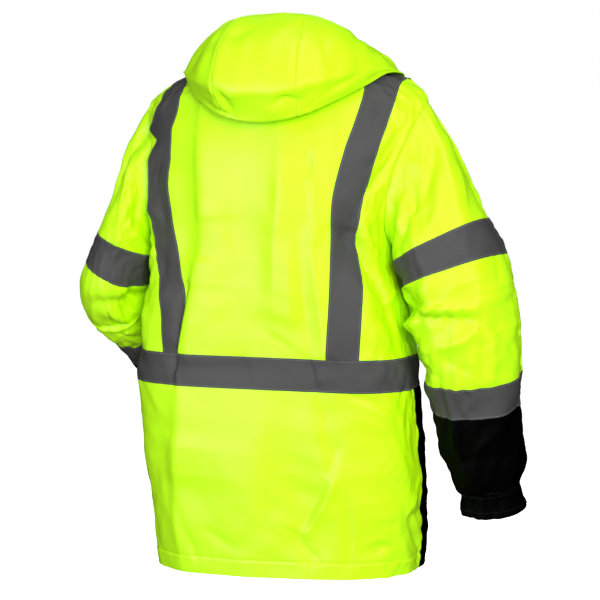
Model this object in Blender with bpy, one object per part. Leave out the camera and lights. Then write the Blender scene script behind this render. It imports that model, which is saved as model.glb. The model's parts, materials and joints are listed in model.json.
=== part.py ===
"""Hi-vis work jacket, standing as it is worn, hollow, with the hood down.

Sizes are millimetres and become Blender's metres once, in add_solid().
The origin is the point between the shoulders at the height of the neck seam; +Z is up, the
wearer faces -Y and the wearer's left is +X.

The body is one surface of rings, from the hem (level 0) up over the shoulders to the neck
seam. Each cut piece is a stretch of that surface with a wall, and each reflective tape is
the same stretch moved out. Sleeves, collar and hood start on the body's own edges.
"""

import math
from collections import namedtuple

import bmesh
import bpy
import numpy as np
from mathutils import Matrix, Vector

MM_PER_METRE = 1000.0
BACK, FRONT = 1, -1
LEFT, RIGHT = 1, -1

# ---------------------------------------------------------------- driving sizes
CLOTH = 2.0                # wall of the coated cloth with its turned seams
TAPE = 1.0                 # reflective tape
LAYER_GAP = 0.3            # between a panel and what lies on it
SEAM_INSET = 0.2           # each piece stops this far before its seam line
TAPE_WIDTH = 50.8          # two inches, on every tape of the jacket
HEM_HEIGHT = 28.0          # turned-up hem
WAIST_TAPE_LEVEL = 317.0   # middle of the waist tape, over the join of the fronts
ARMPIT_LEVEL = 513.0
SHOULDER_LEVEL = 748.0     # level of the shoulder tip
NECK_LEVEL = 926.0
NECK_HALF_WIDTH = 80.0
COLLAR_HEIGHT = 58.0
ZIP_COIL_HALF = 0.6        # each zip tape stops this far from the centre line
ZIP_OPENING_HALF = 8.0     # each front's cloth stops this far from the centre line
ZIP_TAPE_HALF = 20.0       # outer edge of the zip tape, under the cloth
ZIP_TOP = 0.9              # the zip tapes end at this part of the collar's height
SLIDER_WIDTH, SLIDER_LENGTH, SLIDER_PLATE = 9.0, 12.0, 1.6
PIN_RADIUS, EYE_RADIUS, EYE_HOLE = 0.75, 2.15, 1.05
PIN_OUT = 2.5              # the pin's middle stands this far before the slider's plate
PIN_DOWN = 4.5             # and this far below the slider's top
PULL_LENGTH, PULL_WIDTH, PULL_THICKNESS = 28.0, 8.0, 1.5
EAR_INNER, EAR_OUTER = 2.6, 4.1    # the slider's two ears, from the centre line
EYE_HALF = 2.3             # half the length of the pull's eye
SHARP_ANGLE = 50.0         # faces that meet at more than this, in degrees, keep a crisp edge
ARMHOLE_BACK = 24.0        # half the armhole's width, in degrees round the body
ARMHOLE_FRONT = 26.0

# ---------------------------------------------------------------- the body
# One row for each ring. level is the length of cloth up from the hem; left, right, back and
# front are the ring's half sizes; square is the superellipse's exponent, front_drop lowers
# the ring at the centre front and left_drop lowers it on the left.
Ring = namedtuple("Ring", "level height left right back front centre_y square front_drop left_drop")
BODY = (
    Ring(0,   -809, 219, 221, 121, 128, -10, 2.8, 0, 8),
    Ring(60,  -748, 228, 226, 120, 131,  -8, 2.8, 0, 4),
    Ring(130, -675, 235, 228, 116, 134,  -2, 2.9, 0, 2),
    Ring(220, -583, 243, 223, 108, 138,   8, 3.0, 0, 0),
    Ring(322, -481, 243, 213, 102, 142,  16, 3.1, 0, 0),
    Ring(410, -393, 232, 201, 102, 144,  18, 3.1, 0, 0),
    Ring(513, -290, 214, 180, 106, 142,  14, 2.9, 0, 0),
    Ring(620, -188, 227, 196, 110, 136,   8, 2.6, 20, 0),
    Ring(700, -110, 236, 228, 107, 126,   3, 2.1, 44, 0),
    Ring(748,  -66, 241, 238, 100, 116,   0, 1.8, 58, 0),
    Ring(801,  -33, 200, 200,  93, 110,   0, 1.75, 64, 0),
    Ring(866,  -14, 138, 138,  84, 102,   0, 1.85, 70, 0),
    Ring(926,    0,  80,  80,  70,  92,   0, 2.0, 76, 0),
)
# How far the vertical tapes' middle lies from the centre line.
Track = namedtuple("Track", "level left right")
TAPE_TRACK = (
    Track(0, 144, 131), Track(317, 146, 133), Track(438, 156, 138), Track(513, 170, 137),
    Track(590, 185, 139), Track(667, 187, 155), Track(716, 184, 168), Track(748, 181, 174),
    Track(801, 176, 175), Track(926, 170, 172),
)
# Large soft folds of the body. turn is in degrees round the body from the centre back,
# positive towards the wearer's left; depth is negative for a trough.
Fold = namedtuple("Fold", "level_a turn_a level_b turn_b width depth")
BODY_FOLDS = (
    Fold(420,  30, 640,  34, 34, -6.0),
    Fold(290,   4, 560,   8, 40, -5.0),
    Fold(120, -14, 420, -16, 36, -4.0),
    Fold(20,  -24, 170, -16, 26, -5.0),
    Fold(40,   32, 260,  24, 34, -4.0),
    Fold(30,    8, 230,   4, 40,  4.0),
    Fold(360, -68, 560, -44, 26, -9.0),
    Fold(420, -34, 560, -48, 24, -6.0),
    Fold(80,  150, 420, 160, 40, -5.0),
    Fold(60, -140, 360, -152, 44, -5.0),
    Fold(360, 118, 600, 132, 36, -6.0),
    Fold(330, -122, 580, -136, 38, -6.0),
)

# ---------------------------------------------------------------- the arms
# One row for each section of a sleeve from the upper tape to the cuff's end. along is the
# length of cloth; x is measured away from the body's centre; outer, inner, back and fore are
# the section's half sizes, and turn swings it towards the front, in degrees.
Arm = namedtuple("Arm", "along x y z outer inner back fore square turn")
RIGHT_ARM = (
    Arm(150, 255,  14, -283, 86, 74, 84, 84, 2.3, 20),
    Arm(201, 277,  15, -328, 90, 80, 84, 84, 2.3, 20),
    Arm(245, 286,  17, -365, 92, 82, 84, 84, 2.3, 16),
    Arm(285, 296,  16, -400, 89, 84, 82, 82, 2.3, 12),
    Arm(316, 302,  12, -430, 85, 82, 80, 80, 2.3, 10),
    Arm(347, 309,   7, -460, 77, 75, 74, 74, 2.3, 8),
    Arm(380, 311,   1, -491, 72, 71, 70, 70, 2.2, 5),
    Arm(416, 312,  -6, -526, 68, 67, 67, 67, 2.2, 0),
    Arm(459, 315, -14, -568, 65, 64, 65, 65, 2.2, 0),
    Arm(490, 319, -20, -598, 66, 62, 63, 63, 2.2, 0),
    Arm(540, 326, -30, -644, 58, 54, 56, 56, 2.2, 0),
    Arm(558, 328, -37, -662, 48, 46, 49, 49, 2.1, 0),
    Arm(598, 331, -46, -702, 53, 49, 52, 52, 2.1, 0),
)
LEFT_ARM = (
    Arm(150, 258,   18, -296, 60, 40, 88, 84, 2.3, 0),
    Arm(201, 277,   20, -338, 64, 44, 86, 74, 2.3, 0),
    Arm(240, 288,   13, -358, 68, 46, 86, 56, 2.3, 0),
    Arm(285, 291,   -6, -374, 67, 47, 86, 48, 2.3, 0),
    Arm(330, 289,  -30, -395, 62, 48, 80, 48, 2.3, 0),
    Arm(377, 284,  -60, -421, 62, 52, 70, 52, 2.2, 0),
    Arm(428, 279,  -97, -459, 60, 56, 64, 58, 2.2, 0),
    Arm(492, 272, -144, -503, 58, 56, 60, 58, 2.2, 0),
    Arm(540, 266, -179, -536, 52, 52, 54, 53, 2.2, 0),
    Arm(558, 264, -192, -548, 44, 44, 47, 46, 2.1, 0),
    Arm(598, 259, -221, -576, 47, 47, 50, 49, 2.1, 0),
)
UPPER_TAPE = 150.0         # where each sleeve tape starts along the sleeve
LOWER_TAPE = 377.0
CUFF_SEAM = 558.0
SLEEVE_END = 598.0
CAP_SLOPE = {LEFT: 0.75, RIGHT: 1.2}    # how steeply each sleeve leaves the shoulder tip
# Large folds of the sleeves; turn runs round the sleeve from the outer side by the back.
ArmFold = namedtuple("ArmFold", "along_a turn_a along_b turn_b width depth")
RIGHT_FOLDS = (
    ArmFold(288,  20, 296, 170, 18, -9.0),
    ArmFold(252,  60, 262, 175, 18, -5.0),
    ArmFold(318,  40, 330, 130, 18, -4.0),
    ArmFold(30,   20, 120, 110, 22, -6.0),
    ArmFold(60,   70, 140, 160, 18, -6.0),
    ArmFold(470,  30, 540,  60, 18, -4.0),
    ArmFold(30,  300, 130, 230, 24, -6.0),
    ArmFold(292, 230, 286, 300, 22, -5.0),
)
LEFT_FOLDS = (
    ArmFold(268, 170, 282,  60, 18, -8.0),
    ArmFold(300, 170, 292,  70, 18, -8.0),
    ArmFold(292, 190, 286, 280, 24, -12.0),
    ArmFold(320, 200, 310, 270, 20, -8.0),
    ArmFold(40,   50, 130, 120, 22, -5.0),
    ArmFold(30,  300, 130, 230, 24, -6.0),
)

# ---------------------------------------------------------------- the hood
# One row for each direction round the neck (turn 0 is the back, 150 the front end); fold is
# the lowest outer line, bulge the widest line above it and brim the opening's edge.
Hood = namedtuple("Hood", "turn fold_x fold_y fold_z bulge_x bulge_y bulge_z brim_x brim_y brim_z")
HOOD = (
    Hood(0,     0,  140, -97,   0,  166, -46,   0,   80,  71),
    Hood(15,   42,  138, -93,  46,  162, -44,  37,   79,  70),
    Hood(30,   78,  128, -83,  88,  148, -36,  68,   72,  66),
    Hood(45,  110,  108, -67, 122,  120, -26,  96,   58,  54),
    Hood(60,  140,   80, -50, 149,   84, -17, 112,   38,  40),
    Hood(75,  166,   44, -38, 168,   44, -12, 117,   14,  31),
    Hood(90,  181,    2, -33, 174,    2, -14, 113,  -12,  23),
    Hood(105, 174,  -38, -42, 164,  -36, -20, 102,  -38,  13),
    Hood(120, 150,  -72, -60, 141,  -70, -42,  86,  -62,  -6),
    Hood(135, 112,  -98, -76, 106,  -98, -64,  66,  -84, -30),
    Hood(154,  65, -108, -84,  63, -108, -70,  44, -100, -50),
)
HOOD_SHIFT = -9.0          # the hood hangs a little towards the wearer's right
HOOD_BACK_CELLS, HOOD_FRONT_CELLS = 8, 6
HOOD_CENTRE_CELLS = 2      # the centre panel's half width at the neck, in cells
BRIM_TURN_IN = 24.0        # depth of the hem turned in at the opening

# ---------------------------------------------------------------- grids
LOW_LEVELS = (0, HEM_HEIGHT, 92, 156, 220, WAIST_TAPE_LEVEL - TAPE_WIDTH / 2, WAIST_TAPE_LEVEL,
              WAIST_TAPE_LEVEL + TAPE_WIDTH / 2, 388, 430, 472, ARMPIT_LEVEL)
ARM_STEPS = 10             # rows of the panels beside the armhole, half a sleeve's ring
TO_NECK, TO_TAPE, ON_TAPE, TO_SIDE = 4, 3, 3, 5    # cells between a panel's guide lines
CAP_ALONG = (0, 12, 35, 65, 97, 126, UPPER_TAPE)
UPPER_ALONG = (UPPER_TAPE + TAPE_WIDTH / 2, UPPER_TAPE + TAPE_WIDTH, 226, 250, 268, 286, 304,
               326, 350, LOWER_TAPE, LOWER_TAPE + TAPE_WIDTH / 2)
LOWER_ALONG = (LOWER_TAPE + TAPE_WIDTH / 2, LOWER_TAPE + TAPE_WIDTH, 468, 508, 540, CUFF_SEAM)
CUFF_ALONG = (CUFF_SEAM, 571, 585, SLEEVE_END)

WHITE_YELLOW = (0.80, 1.0, 0.05, 1.0)
BLACK = (0.006, 0.006, 0.007, 1.0)
GREY = (0.10, 0.10, 0.105, 1.0)


def curve(table, at):
    """The table's columns at a position in its first column, on smooth curves."""
    keys = np.array([row[0] for row in table], float)
    values = np.array([row[1:] for row in table], float)
    slopes = np.gradient(values, keys, axis=0)
    at = min(max(at, keys[0]), keys[-1])
    i = min(max(int(np.searchsorted(keys, at, side="right")) - 1, 0), len(keys) - 2)
    span = keys[i + 1] - keys[i]
    t = (at - keys[i]) / span
    return ((2 * t**3 - 3 * t**2 + 1) * values[i] + (t**3 - 2 * t**2 + t) * span * slopes[i]
            + (3 * t**2 - 2 * t**3) * values[i + 1] + (t**3 - t**2) * span * slopes[i + 1])


def unit(v):
    return v / np.linalg.norm(v, axis=-1, keepdims=True)


def fold_depth(folds, along, turn, mm_per_degree):
    """How far the folds push a point out: each is a soft trough or ridge on a straight line."""
    total = 0.0
    for fold in folds:
        a = np.array([fold[0], fold[1] * mm_per_degree])
        b = np.array([fold[2], fold[3] * mm_per_degree])
        p = np.array([along, turn * mm_per_degree])
        t = min(max(np.dot(p - a, b - a) / np.dot(b - a, b - a), 0.0), 1.0)
        off = np.linalg.norm(p - a - t * (b - a)) / fold.width
        total += fold.depth * math.exp(-off * off) * (0.55 + 0.45 * math.sin(math.pi * t))
    return total


# ---------------------------------------------------------------- the body's surface
def bare_body(level, theta, side, face):
    """A point of the body without folds; theta is 0 at the centre line and 90 degrees at the
    side, measured on the ring scaled to a square."""
    height, left, right, back, front, centre_y, square, drop, left_drop = curve(BODY, level)
    s, c = math.sin(theta), math.cos(theta)
    reach = (abs(s) ** square + abs(c) ** square) ** (-1 / square)
    across, deep = reach * s, reach * c
    return np.array([side * (left if side == LEFT else right) * across,
                     centre_y + face * (back if face == BACK else front) * deep,
                     height - (drop * deep * deep if face == FRONT else 0.0)
                     - side * left_drop * across])


def tangents(surface, level, theta, side, face):
    near_top, near_side = level > NECK_LEVEL - 1, theta > 0.01
    d_level = surface(level - (1 if near_top else 0), theta, side, face)
    d_level = surface(level + (0 if near_top else 1), theta, side, face) - d_level
    d_theta = surface(level, theta - (0.01 if near_side else 0.0), side, face)
    d_theta = surface(level, theta + (0.0 if near_side else 0.01), side, face) - d_theta
    return d_level, d_theta


def normal_of(surface, level, theta, side, face):
    d_level, d_theta = tangents(surface, level, theta, side, face)
    return unit(np.cross(d_level, d_theta)) * side * face


def body(level, theta, side, face):
    point = bare_body(level, theta, side, face)
    turn = side * (math.degrees(theta) if face == BACK else 180 - math.degrees(theta))
    shift = fold_depth(BODY_FOLDS, level, turn, 3.4)
    if abs(shift) < 0.01:
        return point
    return point + shift * normal_of(bare_body, level, theta, side, face)


def half_width(level, side):
    return curve(BODY, level)[1 if side == LEFT else 2]


def theta_at(level, x, side):
    """The ring angle of the point that lies x from the centre line."""
    square = curve(BODY, level)[6]
    across = min(max(x / half_width(level, side), 0.0), 1.0)
    return math.atan2(across, (1 - across**square) ** (1 / square))


def tape_edges(level, side):
    """x of a vertical tape's inner and outer edge, narrowed where the cloth turns sideways."""
    middle = curve(TAPE_TRACK, level)[0 if side == LEFT else 1]
    theta = theta_at(level, min(middle, 0.96 * half_width(level, side)), side)
    lean = normal_of(bare_body, level, theta, side, BACK)[0]
    half = TAPE_WIDTH / 2 * math.sqrt(1 - lean * lean)
    return middle - half, middle + half


def level_on_shoulder(edge, side):
    """The level at which a tape's edge (0 inner, 1 outer) reaches the shoulder seam."""
    low, high = SHOULDER_LEVEL, NECK_LEVEL
    for _ in range(40):
        middle = (low + high) / 2
        if half_width(middle, side) > tape_edges(middle, side)[edge]:
            low = middle
        else:
            high = middle
    return low


def armhole(step, face):
    """(level, theta) of the armhole's edge, step 0 at the armpit and ARM_STEPS at the top."""
    f = math.pi * step / ARM_STEPS
    middle, half = (SHOULDER_LEVEL + ARMPIT_LEVEL) / 2, (SHOULDER_LEVEL - ARMPIT_LEVEL) / 2
    width = ARMHOLE_BACK if face == BACK else ARMHOLE_FRONT
    return middle - half * math.cos(f), math.radians(90 - width * math.sin(f))


def guides(side, face):
    """For each row the (level, theta) of the five guide lines: centre, neck, tape's inner and
    outer edge, side."""
    rows = []
    centre_x = 0.0 if face == BACK else ZIP_OPENING_HALF
    for level in LOW_LEVELS:
        inner, outer = tape_edges(level, side)
        rows.append([(level, theta_at(level, x, side)) for x in (centre_x, inner / 2, inner, outer)]
                    + [(level, math.pi / 2)])
    rise_in = level_on_shoulder(0, side) - ARMPIT_LEVEL
    rise_out = level_on_shoulder(1, side) - ARMPIT_LEVEL
    rise = NECK_LEVEL - ARMPIT_LEVEL
    neck_low = tape_edges(ARMPIT_LEVEL, side)[0] / 2
    for step in range(1, ARM_STEPS + 1):
        f = step / ARM_STEPS
        g = 0.65 * f + 0.35 * (1 - math.cos(math.pi * f)) / 2
        top = step == ARM_STEPS
        level = ARMPIT_LEVEL + rise * g
        neck_x = neck_low + (NECK_HALF_WIDTH - neck_low) * g
        level_in, level_out = ARMPIT_LEVEL + rise_in * g, ARMPIT_LEVEL + rise_out * g
        side_level, side_theta = armhole(step, face)
        rows.append([
            (level, theta_at(level, centre_x, side)),
            (level, math.pi / 2 if top else theta_at(level, neck_x, side)),
            (level_in, math.pi / 2 if top else theta_at(level_in, tape_edges(level_in, side)[0], side)),
            (level_out, math.pi / 2 if top else theta_at(level_out, tape_edges(level_out, side)[1], side)),
            (side_level, side_theta),
        ])
    return rows


def half_panel(side, face):
    """Points and normals of one side of the body's back or front, row by row from the hem and
    column by column from the centre line."""
    points, normals = [], []
    for row in guides(side, face):
        spots = [row[0]]
        for (a, b), cells in zip(zip(row, row[1:]), (TO_NECK, TO_TAPE, ON_TAPE, TO_SIDE)):
            spots += [tuple(np.array(a) + (np.array(b) - a) * i / cells) for i in range(1, cells + 1)]
        points.append([body(*spot, side, face) for spot in spots])
        normals.append([normal_of(body, *spot, side, face) for spot in spots])
    return np.array(points), np.array(normals)


# ---------------------------------------------------------------- walls
def grid_normals(grid, closed, sign=1):
    """Normals of a grid of points; closed grids wrap round their columns."""
    if closed:
        across = np.roll(grid, -1, 1) - np.roll(grid, 1, 1)
    else:
        across = np.gradient(grid, axis=1)
    return unit(np.cross(across, np.gradient(grid, axis=0))) * sign


def drawn_in(grid, edges, distance=SEAM_INSET):
    """The grid with the named edges moved towards the next line of points."""
    grid = grid.copy()
    moves = {"first_row": (0, 1), "last_row": (-1, -2)}
    for edge in edges:
        if edge in moves:
            here, there = moves[edge]
            grid[here] += unit(grid[there] - grid[here]) * distance
    moves = {"first_column": (0, 1), "last_column": (-1, -2)}
    for edge in edges:
        if edge in moves:
            here, there = moves[edge]
            grid[:, here] += unit(grid[:, there] - grid[:, here]) * distance
    return grid


def paint(obj, colour):
    material = bpy.data.materials.get(colour[0]) or bpy.data.materials.new(colour[0])
    material.use_nodes = True
    shader = material.node_tree.nodes["Principled BSDF"]
    shader.inputs["Base Color"].default_value = colour[1]
    shader.inputs["Roughness"].default_value = colour[2]
    shader.inputs["Metallic"].default_value = colour[3] if len(colour) > 3 else 0.0
    obj.data.materials.clear()
    obj.data.materials.append(material)


def add_solid(name, outer, inner, closed, colour):
    """One closed body between two grids of points in millimetres, as a named object."""
    rows, columns = outer.shape[:2]
    count = rows * columns
    points = np.concatenate([outer.reshape(-1, 3), inner.reshape(-1, 3)]) / MM_PER_METRE
    faces = []
    for i in range(rows - 1):
        for j in range(columns if closed else columns - 1):
            k = (j + 1) % columns
            a, b, c, d = i * columns + j, i * columns + k, (i + 1) * columns + k, (i + 1) * columns + j
            faces += [(a, b, c), (a, c, d)]
            faces += [(count + a, count + c, count + b), (count + a, count + d, count + c)]
    edge = []
    around = range(columns if closed else columns - 1)
    for j in around:
        k = (j + 1) % columns
        edge += [(k, j), ((rows - 1) * columns + j, (rows - 1) * columns + k)]
    if not closed:
        for i in range(rows - 1):
            edge += [(i * columns, (i + 1) * columns),
                     ((i + 2) * columns - 1, (i + 1) * columns - 1)]
    for a, b in edge:
        faces += [(a, b, count + b), (a, count + b, count + a)]
    mesh = bpy.data.meshes.new(name)
    mesh.from_pydata([tuple(p) for p in points], [], faces)
    form = bmesh.new()
    form.from_mesh(mesh)
    bmesh.ops.recalc_face_normals(form, faces=form.faces)
    if form.calc_volume(signed=True) < 0:
        bmesh.ops.reverse_faces(form, faces=form.faces)
    form.to_mesh(mesh)
    form.free()
    mesh.shade_smooth()
    mesh.set_sharp_from_angle(angle=math.radians(SHARP_ANGLE))
    obj = bpy.data.objects.new(name, mesh)
    bpy.context.scene.collection.objects.link(obj)
    paint(obj, colour)
    return obj


YELLOW_CLOTH = ("yellow_cloth", WHITE_YELLOW, 0.6)
BLACK_CLOTH = ("black_cloth", BLACK, 0.7)
REFLECTIVE = ("reflective_tape", GREY, 0.45)
ZIP_BLACK = ("zip_black", BLACK, 0.4)
DARK_METAL = ("dark_metal", (0.05, 0.05, 0.055, 1.0), 0.35, 0.9)


def add_cloth(name, grid, normals, closed, colour):
    return add_solid(name, grid, grid - CLOTH * normals, closed, colour)


def add_tape(name, grid, normals, closed=False):
    low = grid + LAYER_GAP * normals
    return add_solid(name, low + TAPE * normals, low, closed, REFLECTIVE)


# ---------------------------------------------------------------- the sleeves
def arm_frame(table, along, side):
    """Centre, outward and backward directions of a sleeve's section, and its table row."""
    row = curve(table, along)
    sign = np.array([side, 1, 1])
    centre = row[:3] * sign
    step = (curve(table, along + 6)[:3] - curve(table, along - 6)[:3]) * sign
    down = unit(step)
    out = unit(np.array([side, 0, 0]) - down * down[0] * side)
    back = side * np.cross(out, down)
    return centre, out, back, down, row


def arm_section(table, along, side):
    centre, out, back, _, row = arm_frame(table, along, side)
    outer, inner, behind, fore, square, turn = row[3:]
    lean = math.radians(turn)
    major = out * math.cos(lean) - back * math.sin(lean)
    minor = back * math.cos(lean) + out * math.sin(lean)
    ring = []
    for k in range(2 * ARM_STEPS):
        angle = math.pi * k / ARM_STEPS + lean
        c, s = math.cos(angle), math.sin(angle)
        reach = (abs(c) ** square + abs(s) ** square) ** (-1 / square)
        wide = outer if c > 0 else inner
        deep = behind if s > 0 else fore
        ring.append(centre + reach * (wide * c * major + deep * s * minor))
    return np.array(ring)


def armhole_ring(side):
    """Points and body normals round the armhole: shoulder tip, back, armpit, front."""
    spots = [(*armhole(ARM_STEPS - k, BACK), side, BACK) for k in range(ARM_STEPS + 1)]
    spots += [(*armhole(k, FRONT), side, FRONT) for k in range(1, ARM_STEPS)]
    return (np.array([body(*spot) for spot in spots]),
            np.array([normal_of(body, *spot) for spot in spots]))


def sleeve_grid(side):
    """Points of the whole sleeve, one row for each place along it."""
    table, folds = (LEFT_ARM, LEFT_FOLDS) if side == LEFT else (RIGHT_ARM, RIGHT_FOLDS)
    start, body_normals = armhole_ring(side)
    goal = arm_section(table, UPPER_TAPE, side)
    down = arm_frame(table, UPPER_TAPE, side)[3]
    length = np.linalg.norm(goal - start, axis=1, keepdims=True)
    rise = (np.cos(np.pi * np.arange(2 * ARM_STEPS) / ARM_STEPS) + 1) / 2
    leave = unit(np.stack([np.full(2 * ARM_STEPS, side * 1.0), 0 * rise, -0.3 - CAP_SLOPE[side] * rise], 1))
    rows, places = [], []
    for along in CAP_ALONG:
        t = along / UPPER_TAPE
        rows.append((2 * t**3 - 3 * t**2 + 1) * start + (t**3 - 2 * t**2 + t) * length * leave
                    + (3 * t**2 - 2 * t**3) * goal + (t**3 - t**2) * length * down)
        places.append(along)
    for along in UPPER_ALONG + LOWER_ALONG[1:] + CUFF_ALONG[1:]:
        rows.append(arm_section(table, along, side))
        places.append(along)
    grid = np.array(rows)
    normals = grid_normals(grid, True, -side)
    for i, along in enumerate(places):
        for k in range(2 * ARM_STEPS):
            turn = 180 * k / ARM_STEPS
            shift = sum(fold_depth(folds, along, turn + wrap, 1.45) for wrap in (-360, 0, 360))
            grid[i, k] += shift * min(along / 40, 1.0) * normals[i, k]
    normals = grid_normals(grid, True, -side)
    normals[0] = unit(unit(normals[0]) + body_normals)
    return grid, normals, places


def add_sleeve(side, name):
    grid, normals, places = sleeve_grid(side)
    spans = {"upper": (0, LOWER_TAPE + TAPE_WIDTH / 2),
             "lower": (LOWER_TAPE + TAPE_WIDTH / 2, CUFF_SEAM), "cuff": (CUFF_SEAM, SLEEVE_END)}
    for part, (low, high) in spans.items():
        rows = slice(places.index(low), places.index(high) + 1)
        edges = {"upper": ("first_row", "last_row"), "lower": ("first_row", "last_row"),
                 "cuff": ("first_row",)}[part]
        solid = f"cuff_{name}" if part == "cuff" else f"sleeve_{name}_{part}"
        add_cloth(solid, drawn_in(grid[rows], edges), normals[rows], True,
                  YELLOW_CLOTH if part == "upper" else BLACK_CLOTH)
    for place, low in (("upper_arm", UPPER_TAPE), ("forearm", LOWER_TAPE)):
        rows = slice(places.index(low), places.index(low + TAPE_WIDTH) + 1)
        add_tape(f"tape_{place}_{name}", grid[rows], normals[rows], True)


# ---------------------------------------------------------------- the body's pieces
def add_body():
    halves = {(side, face): half_panel(side, face) for side in (LEFT, RIGHT) for face in (BACK, FRONT)}
    for side in (LEFT, RIGHT):
        ring = sleeve_grid(side)[1][0]
        for face in (BACK, FRONT):
            points, field = halves[side, face]
            for step in range(ARM_STEPS + 1):
                k = ARM_STEPS - step if face == BACK else (ARM_STEPS + step) % (2 * ARM_STEPS)
                field[len(LOW_LEVELS) - 1 + step, -1] = ring[k]
    join = LOW_LEVELS.index(WAIST_TAPE_LEVEL)
    tape_low, tape_high = join - 1, join + 1
    on_tape = slice(TO_NECK + TO_TAPE, TO_NECK + TO_TAPE + ON_TAPE + 1)

    points = np.concatenate([halves[LEFT, BACK][0][:, ::-1], halves[RIGHT, BACK][0][:, 1:]], 1)
    back_field = np.concatenate([halves[LEFT, BACK][1][:, ::-1], halves[RIGHT, BACK][1][:, 1:]], 1)
    back = drawn_in(points, ("last_row", "first_column", "last_column"))
    add_cloth("back_panel", back, back_field, False, YELLOW_CLOTH)
    rows = slice(tape_low, tape_high + 1)
    add_tape("tape_waist_back", back[rows], back_field[rows])
    for side, name in ((LEFT, "left"), (RIGHT, "right")):
        middle = back.shape[1] // 2
        near, far = TO_NECK + TO_TAPE, TO_NECK + TO_TAPE + ON_TAPE
        strip = slice(middle - far, middle - near + 1) if side == LEFT else slice(
            middle + near, middle + far + 1)
        add_tape(f"tape_back_{name}", drawn_in(back[tape_high:, strip], ("first_row",), 2 * SEAM_INSET),
                 back_field[tape_high:, strip])

        points, field = halves[side, FRONT]
        points = drawn_in(points, ("last_row", "last_column"))
        add_cloth(f"front_{name}_upper", drawn_in(points[join:], ("first_row",)), field[join:],
                  False, YELLOW_CLOTH)
        add_cloth(f"front_{name}_lower", drawn_in(points[:join + 1], ("last_row",)),
                  field[:join + 1], False, BLACK_CLOTH)
        add_tape(f"tape_waist_front_{name}", points[rows], field[rows])
        strip = drawn_in(points[tape_high:, on_tape], ("first_row",), 2 * SEAM_INSET)
        add_tape(f"tape_front_{name}", strip, field[tape_high:, on_tape])
    return halves


# ---------------------------------------------------------------- collar and hood
def neck_points(halves):
    """Points round the neck seam from the left front to the right front, with directions that
    point away from the neck."""
    ring = []
    for side in (LEFT, RIGHT):
        front = halves[side, FRONT][0][-1, : TO_NECK + 1]
        back = halves[side, BACK][0][-1, : TO_NECK + 1]
        ring.append(list(front) + list(back[::-1][1:]))
    points = np.array(ring[0] + ring[1][::-1][1:])
    away = points * [1, 1, 0]
    return points, unit(away)


def collar_grid(halves):
    base, away = neck_points(halves)
    rows = [base - away * (1.8 + 4 * min(f / 0.6, 1.0)) + np.array([0, 0, 1]) * (COLLAR_HEIGHT * f - CLOTH)
            for f in (0.0, 0.2, 0.6, 1.0)]
    return np.array(rows), away


def add_collar(halves):
    grid, away = collar_grid(halves)
    add_solid("collar", grid, grid - CLOTH * away, False, YELLOW_CLOTH)


# ---------------------------------------------------------------- the zip
def strip_across(first, second, side, first_normal, second_normal):
    """Three points across a zip tape, from its coil to its outer edge under the cloth."""
    coil = first * [0, 1, 1] + [side * ZIP_COIL_HALF, 0, 0]
    f = (ZIP_TAPE_HALF - ZIP_OPENING_HALF) / abs(second[0] - first[0])
    return ([coil, first, first + (second - first) * f],
            [first_normal, first_normal, unit(first_normal + (second_normal - first_normal) * f)])


def add_zip_tape(halves, side, name):
    points, normals = halves[side, FRONT]
    collar, away = collar_grid(halves)
    first, second = (0, 1) if side == LEFT else (-1, -2)
    spots, directions = [], []

    def add_row(a, b, a_normal, b_normal):
        row, row_normals = strip_across(a, b, side, a_normal, b_normal)
        spots.append(row)
        directions.append(row_normals)

    for i in range(len(points) - 1):
        add_row(points[i, 0], points[i, 1], normals[i, 0], normals[i, 1])
    below = np.array([0, 0, -0.6])
    add_row(collar[0, first] - 0.4 * away[first] + below, collar[0, second] - 0.4 * away[second] + below,
            away[first], away[second])
    top = collar[2] + (collar[3] - collar[2]) * (ZIP_TOP - 0.6) / 0.4
    for row in (collar[1], collar[2], top):
        add_row(row[first], row[second], away[first], away[second])
    spots, directions = np.array(spots), np.array(directions)
    face = spots - (CLOTH + LAYER_GAP) * directions
    add_solid(f"zip_tape_{name}", face, face - TAPE * directions, False, ZIP_BLACK)
    return face[-1, 0]


def box(low, high):
    low, high = np.array(low) / MM_PER_METRE, np.array(high) / MM_PER_METRE
    bpy.ops.mesh.primitive_cube_add(size=1, location=tuple((low + high) / 2))
    bpy.context.object.scale = tuple(high - low)
    return bpy.context.object


def rod(middle, radius, half_length):
    bpy.ops.mesh.primitive_cylinder_add(
        vertices=24, radius=radius / MM_PER_METRE, depth=2 * half_length / MM_PER_METRE,
        location=tuple(np.array(middle) / MM_PER_METRE), rotation=(0, math.pi / 2, 0))
    return bpy.context.object


def combined(name, base, steps, origin=(0.0, 0.0, 0.0)):
    """The base with each (operation, helper) applied, as one named object with that origin."""
    for operation, helper in steps:
        modifier = base.modifiers.new(operation, "BOOLEAN")
        modifier.object, modifier.operation, modifier.solver = helper, operation, "EXACT"
    graph = bpy.context.evaluated_depsgraph_get()
    mesh = bpy.data.meshes.new_from_object(base.evaluated_get(graph))
    place = Vector(origin) / MM_PER_METRE
    mesh.transform(Matrix.Translation(-place) @ base.matrix_world)
    mesh.shade_smooth()
    mesh.set_sharp_from_angle(angle=math.radians(SHARP_ANGLE))
    for helper in [base] + [step[1] for step in steps]:
        bpy.data.objects.remove(helper)
    obj = bpy.data.objects.new(name, mesh)
    obj.location = place
    bpy.context.scene.collection.objects.link(obj)
    return obj


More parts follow.
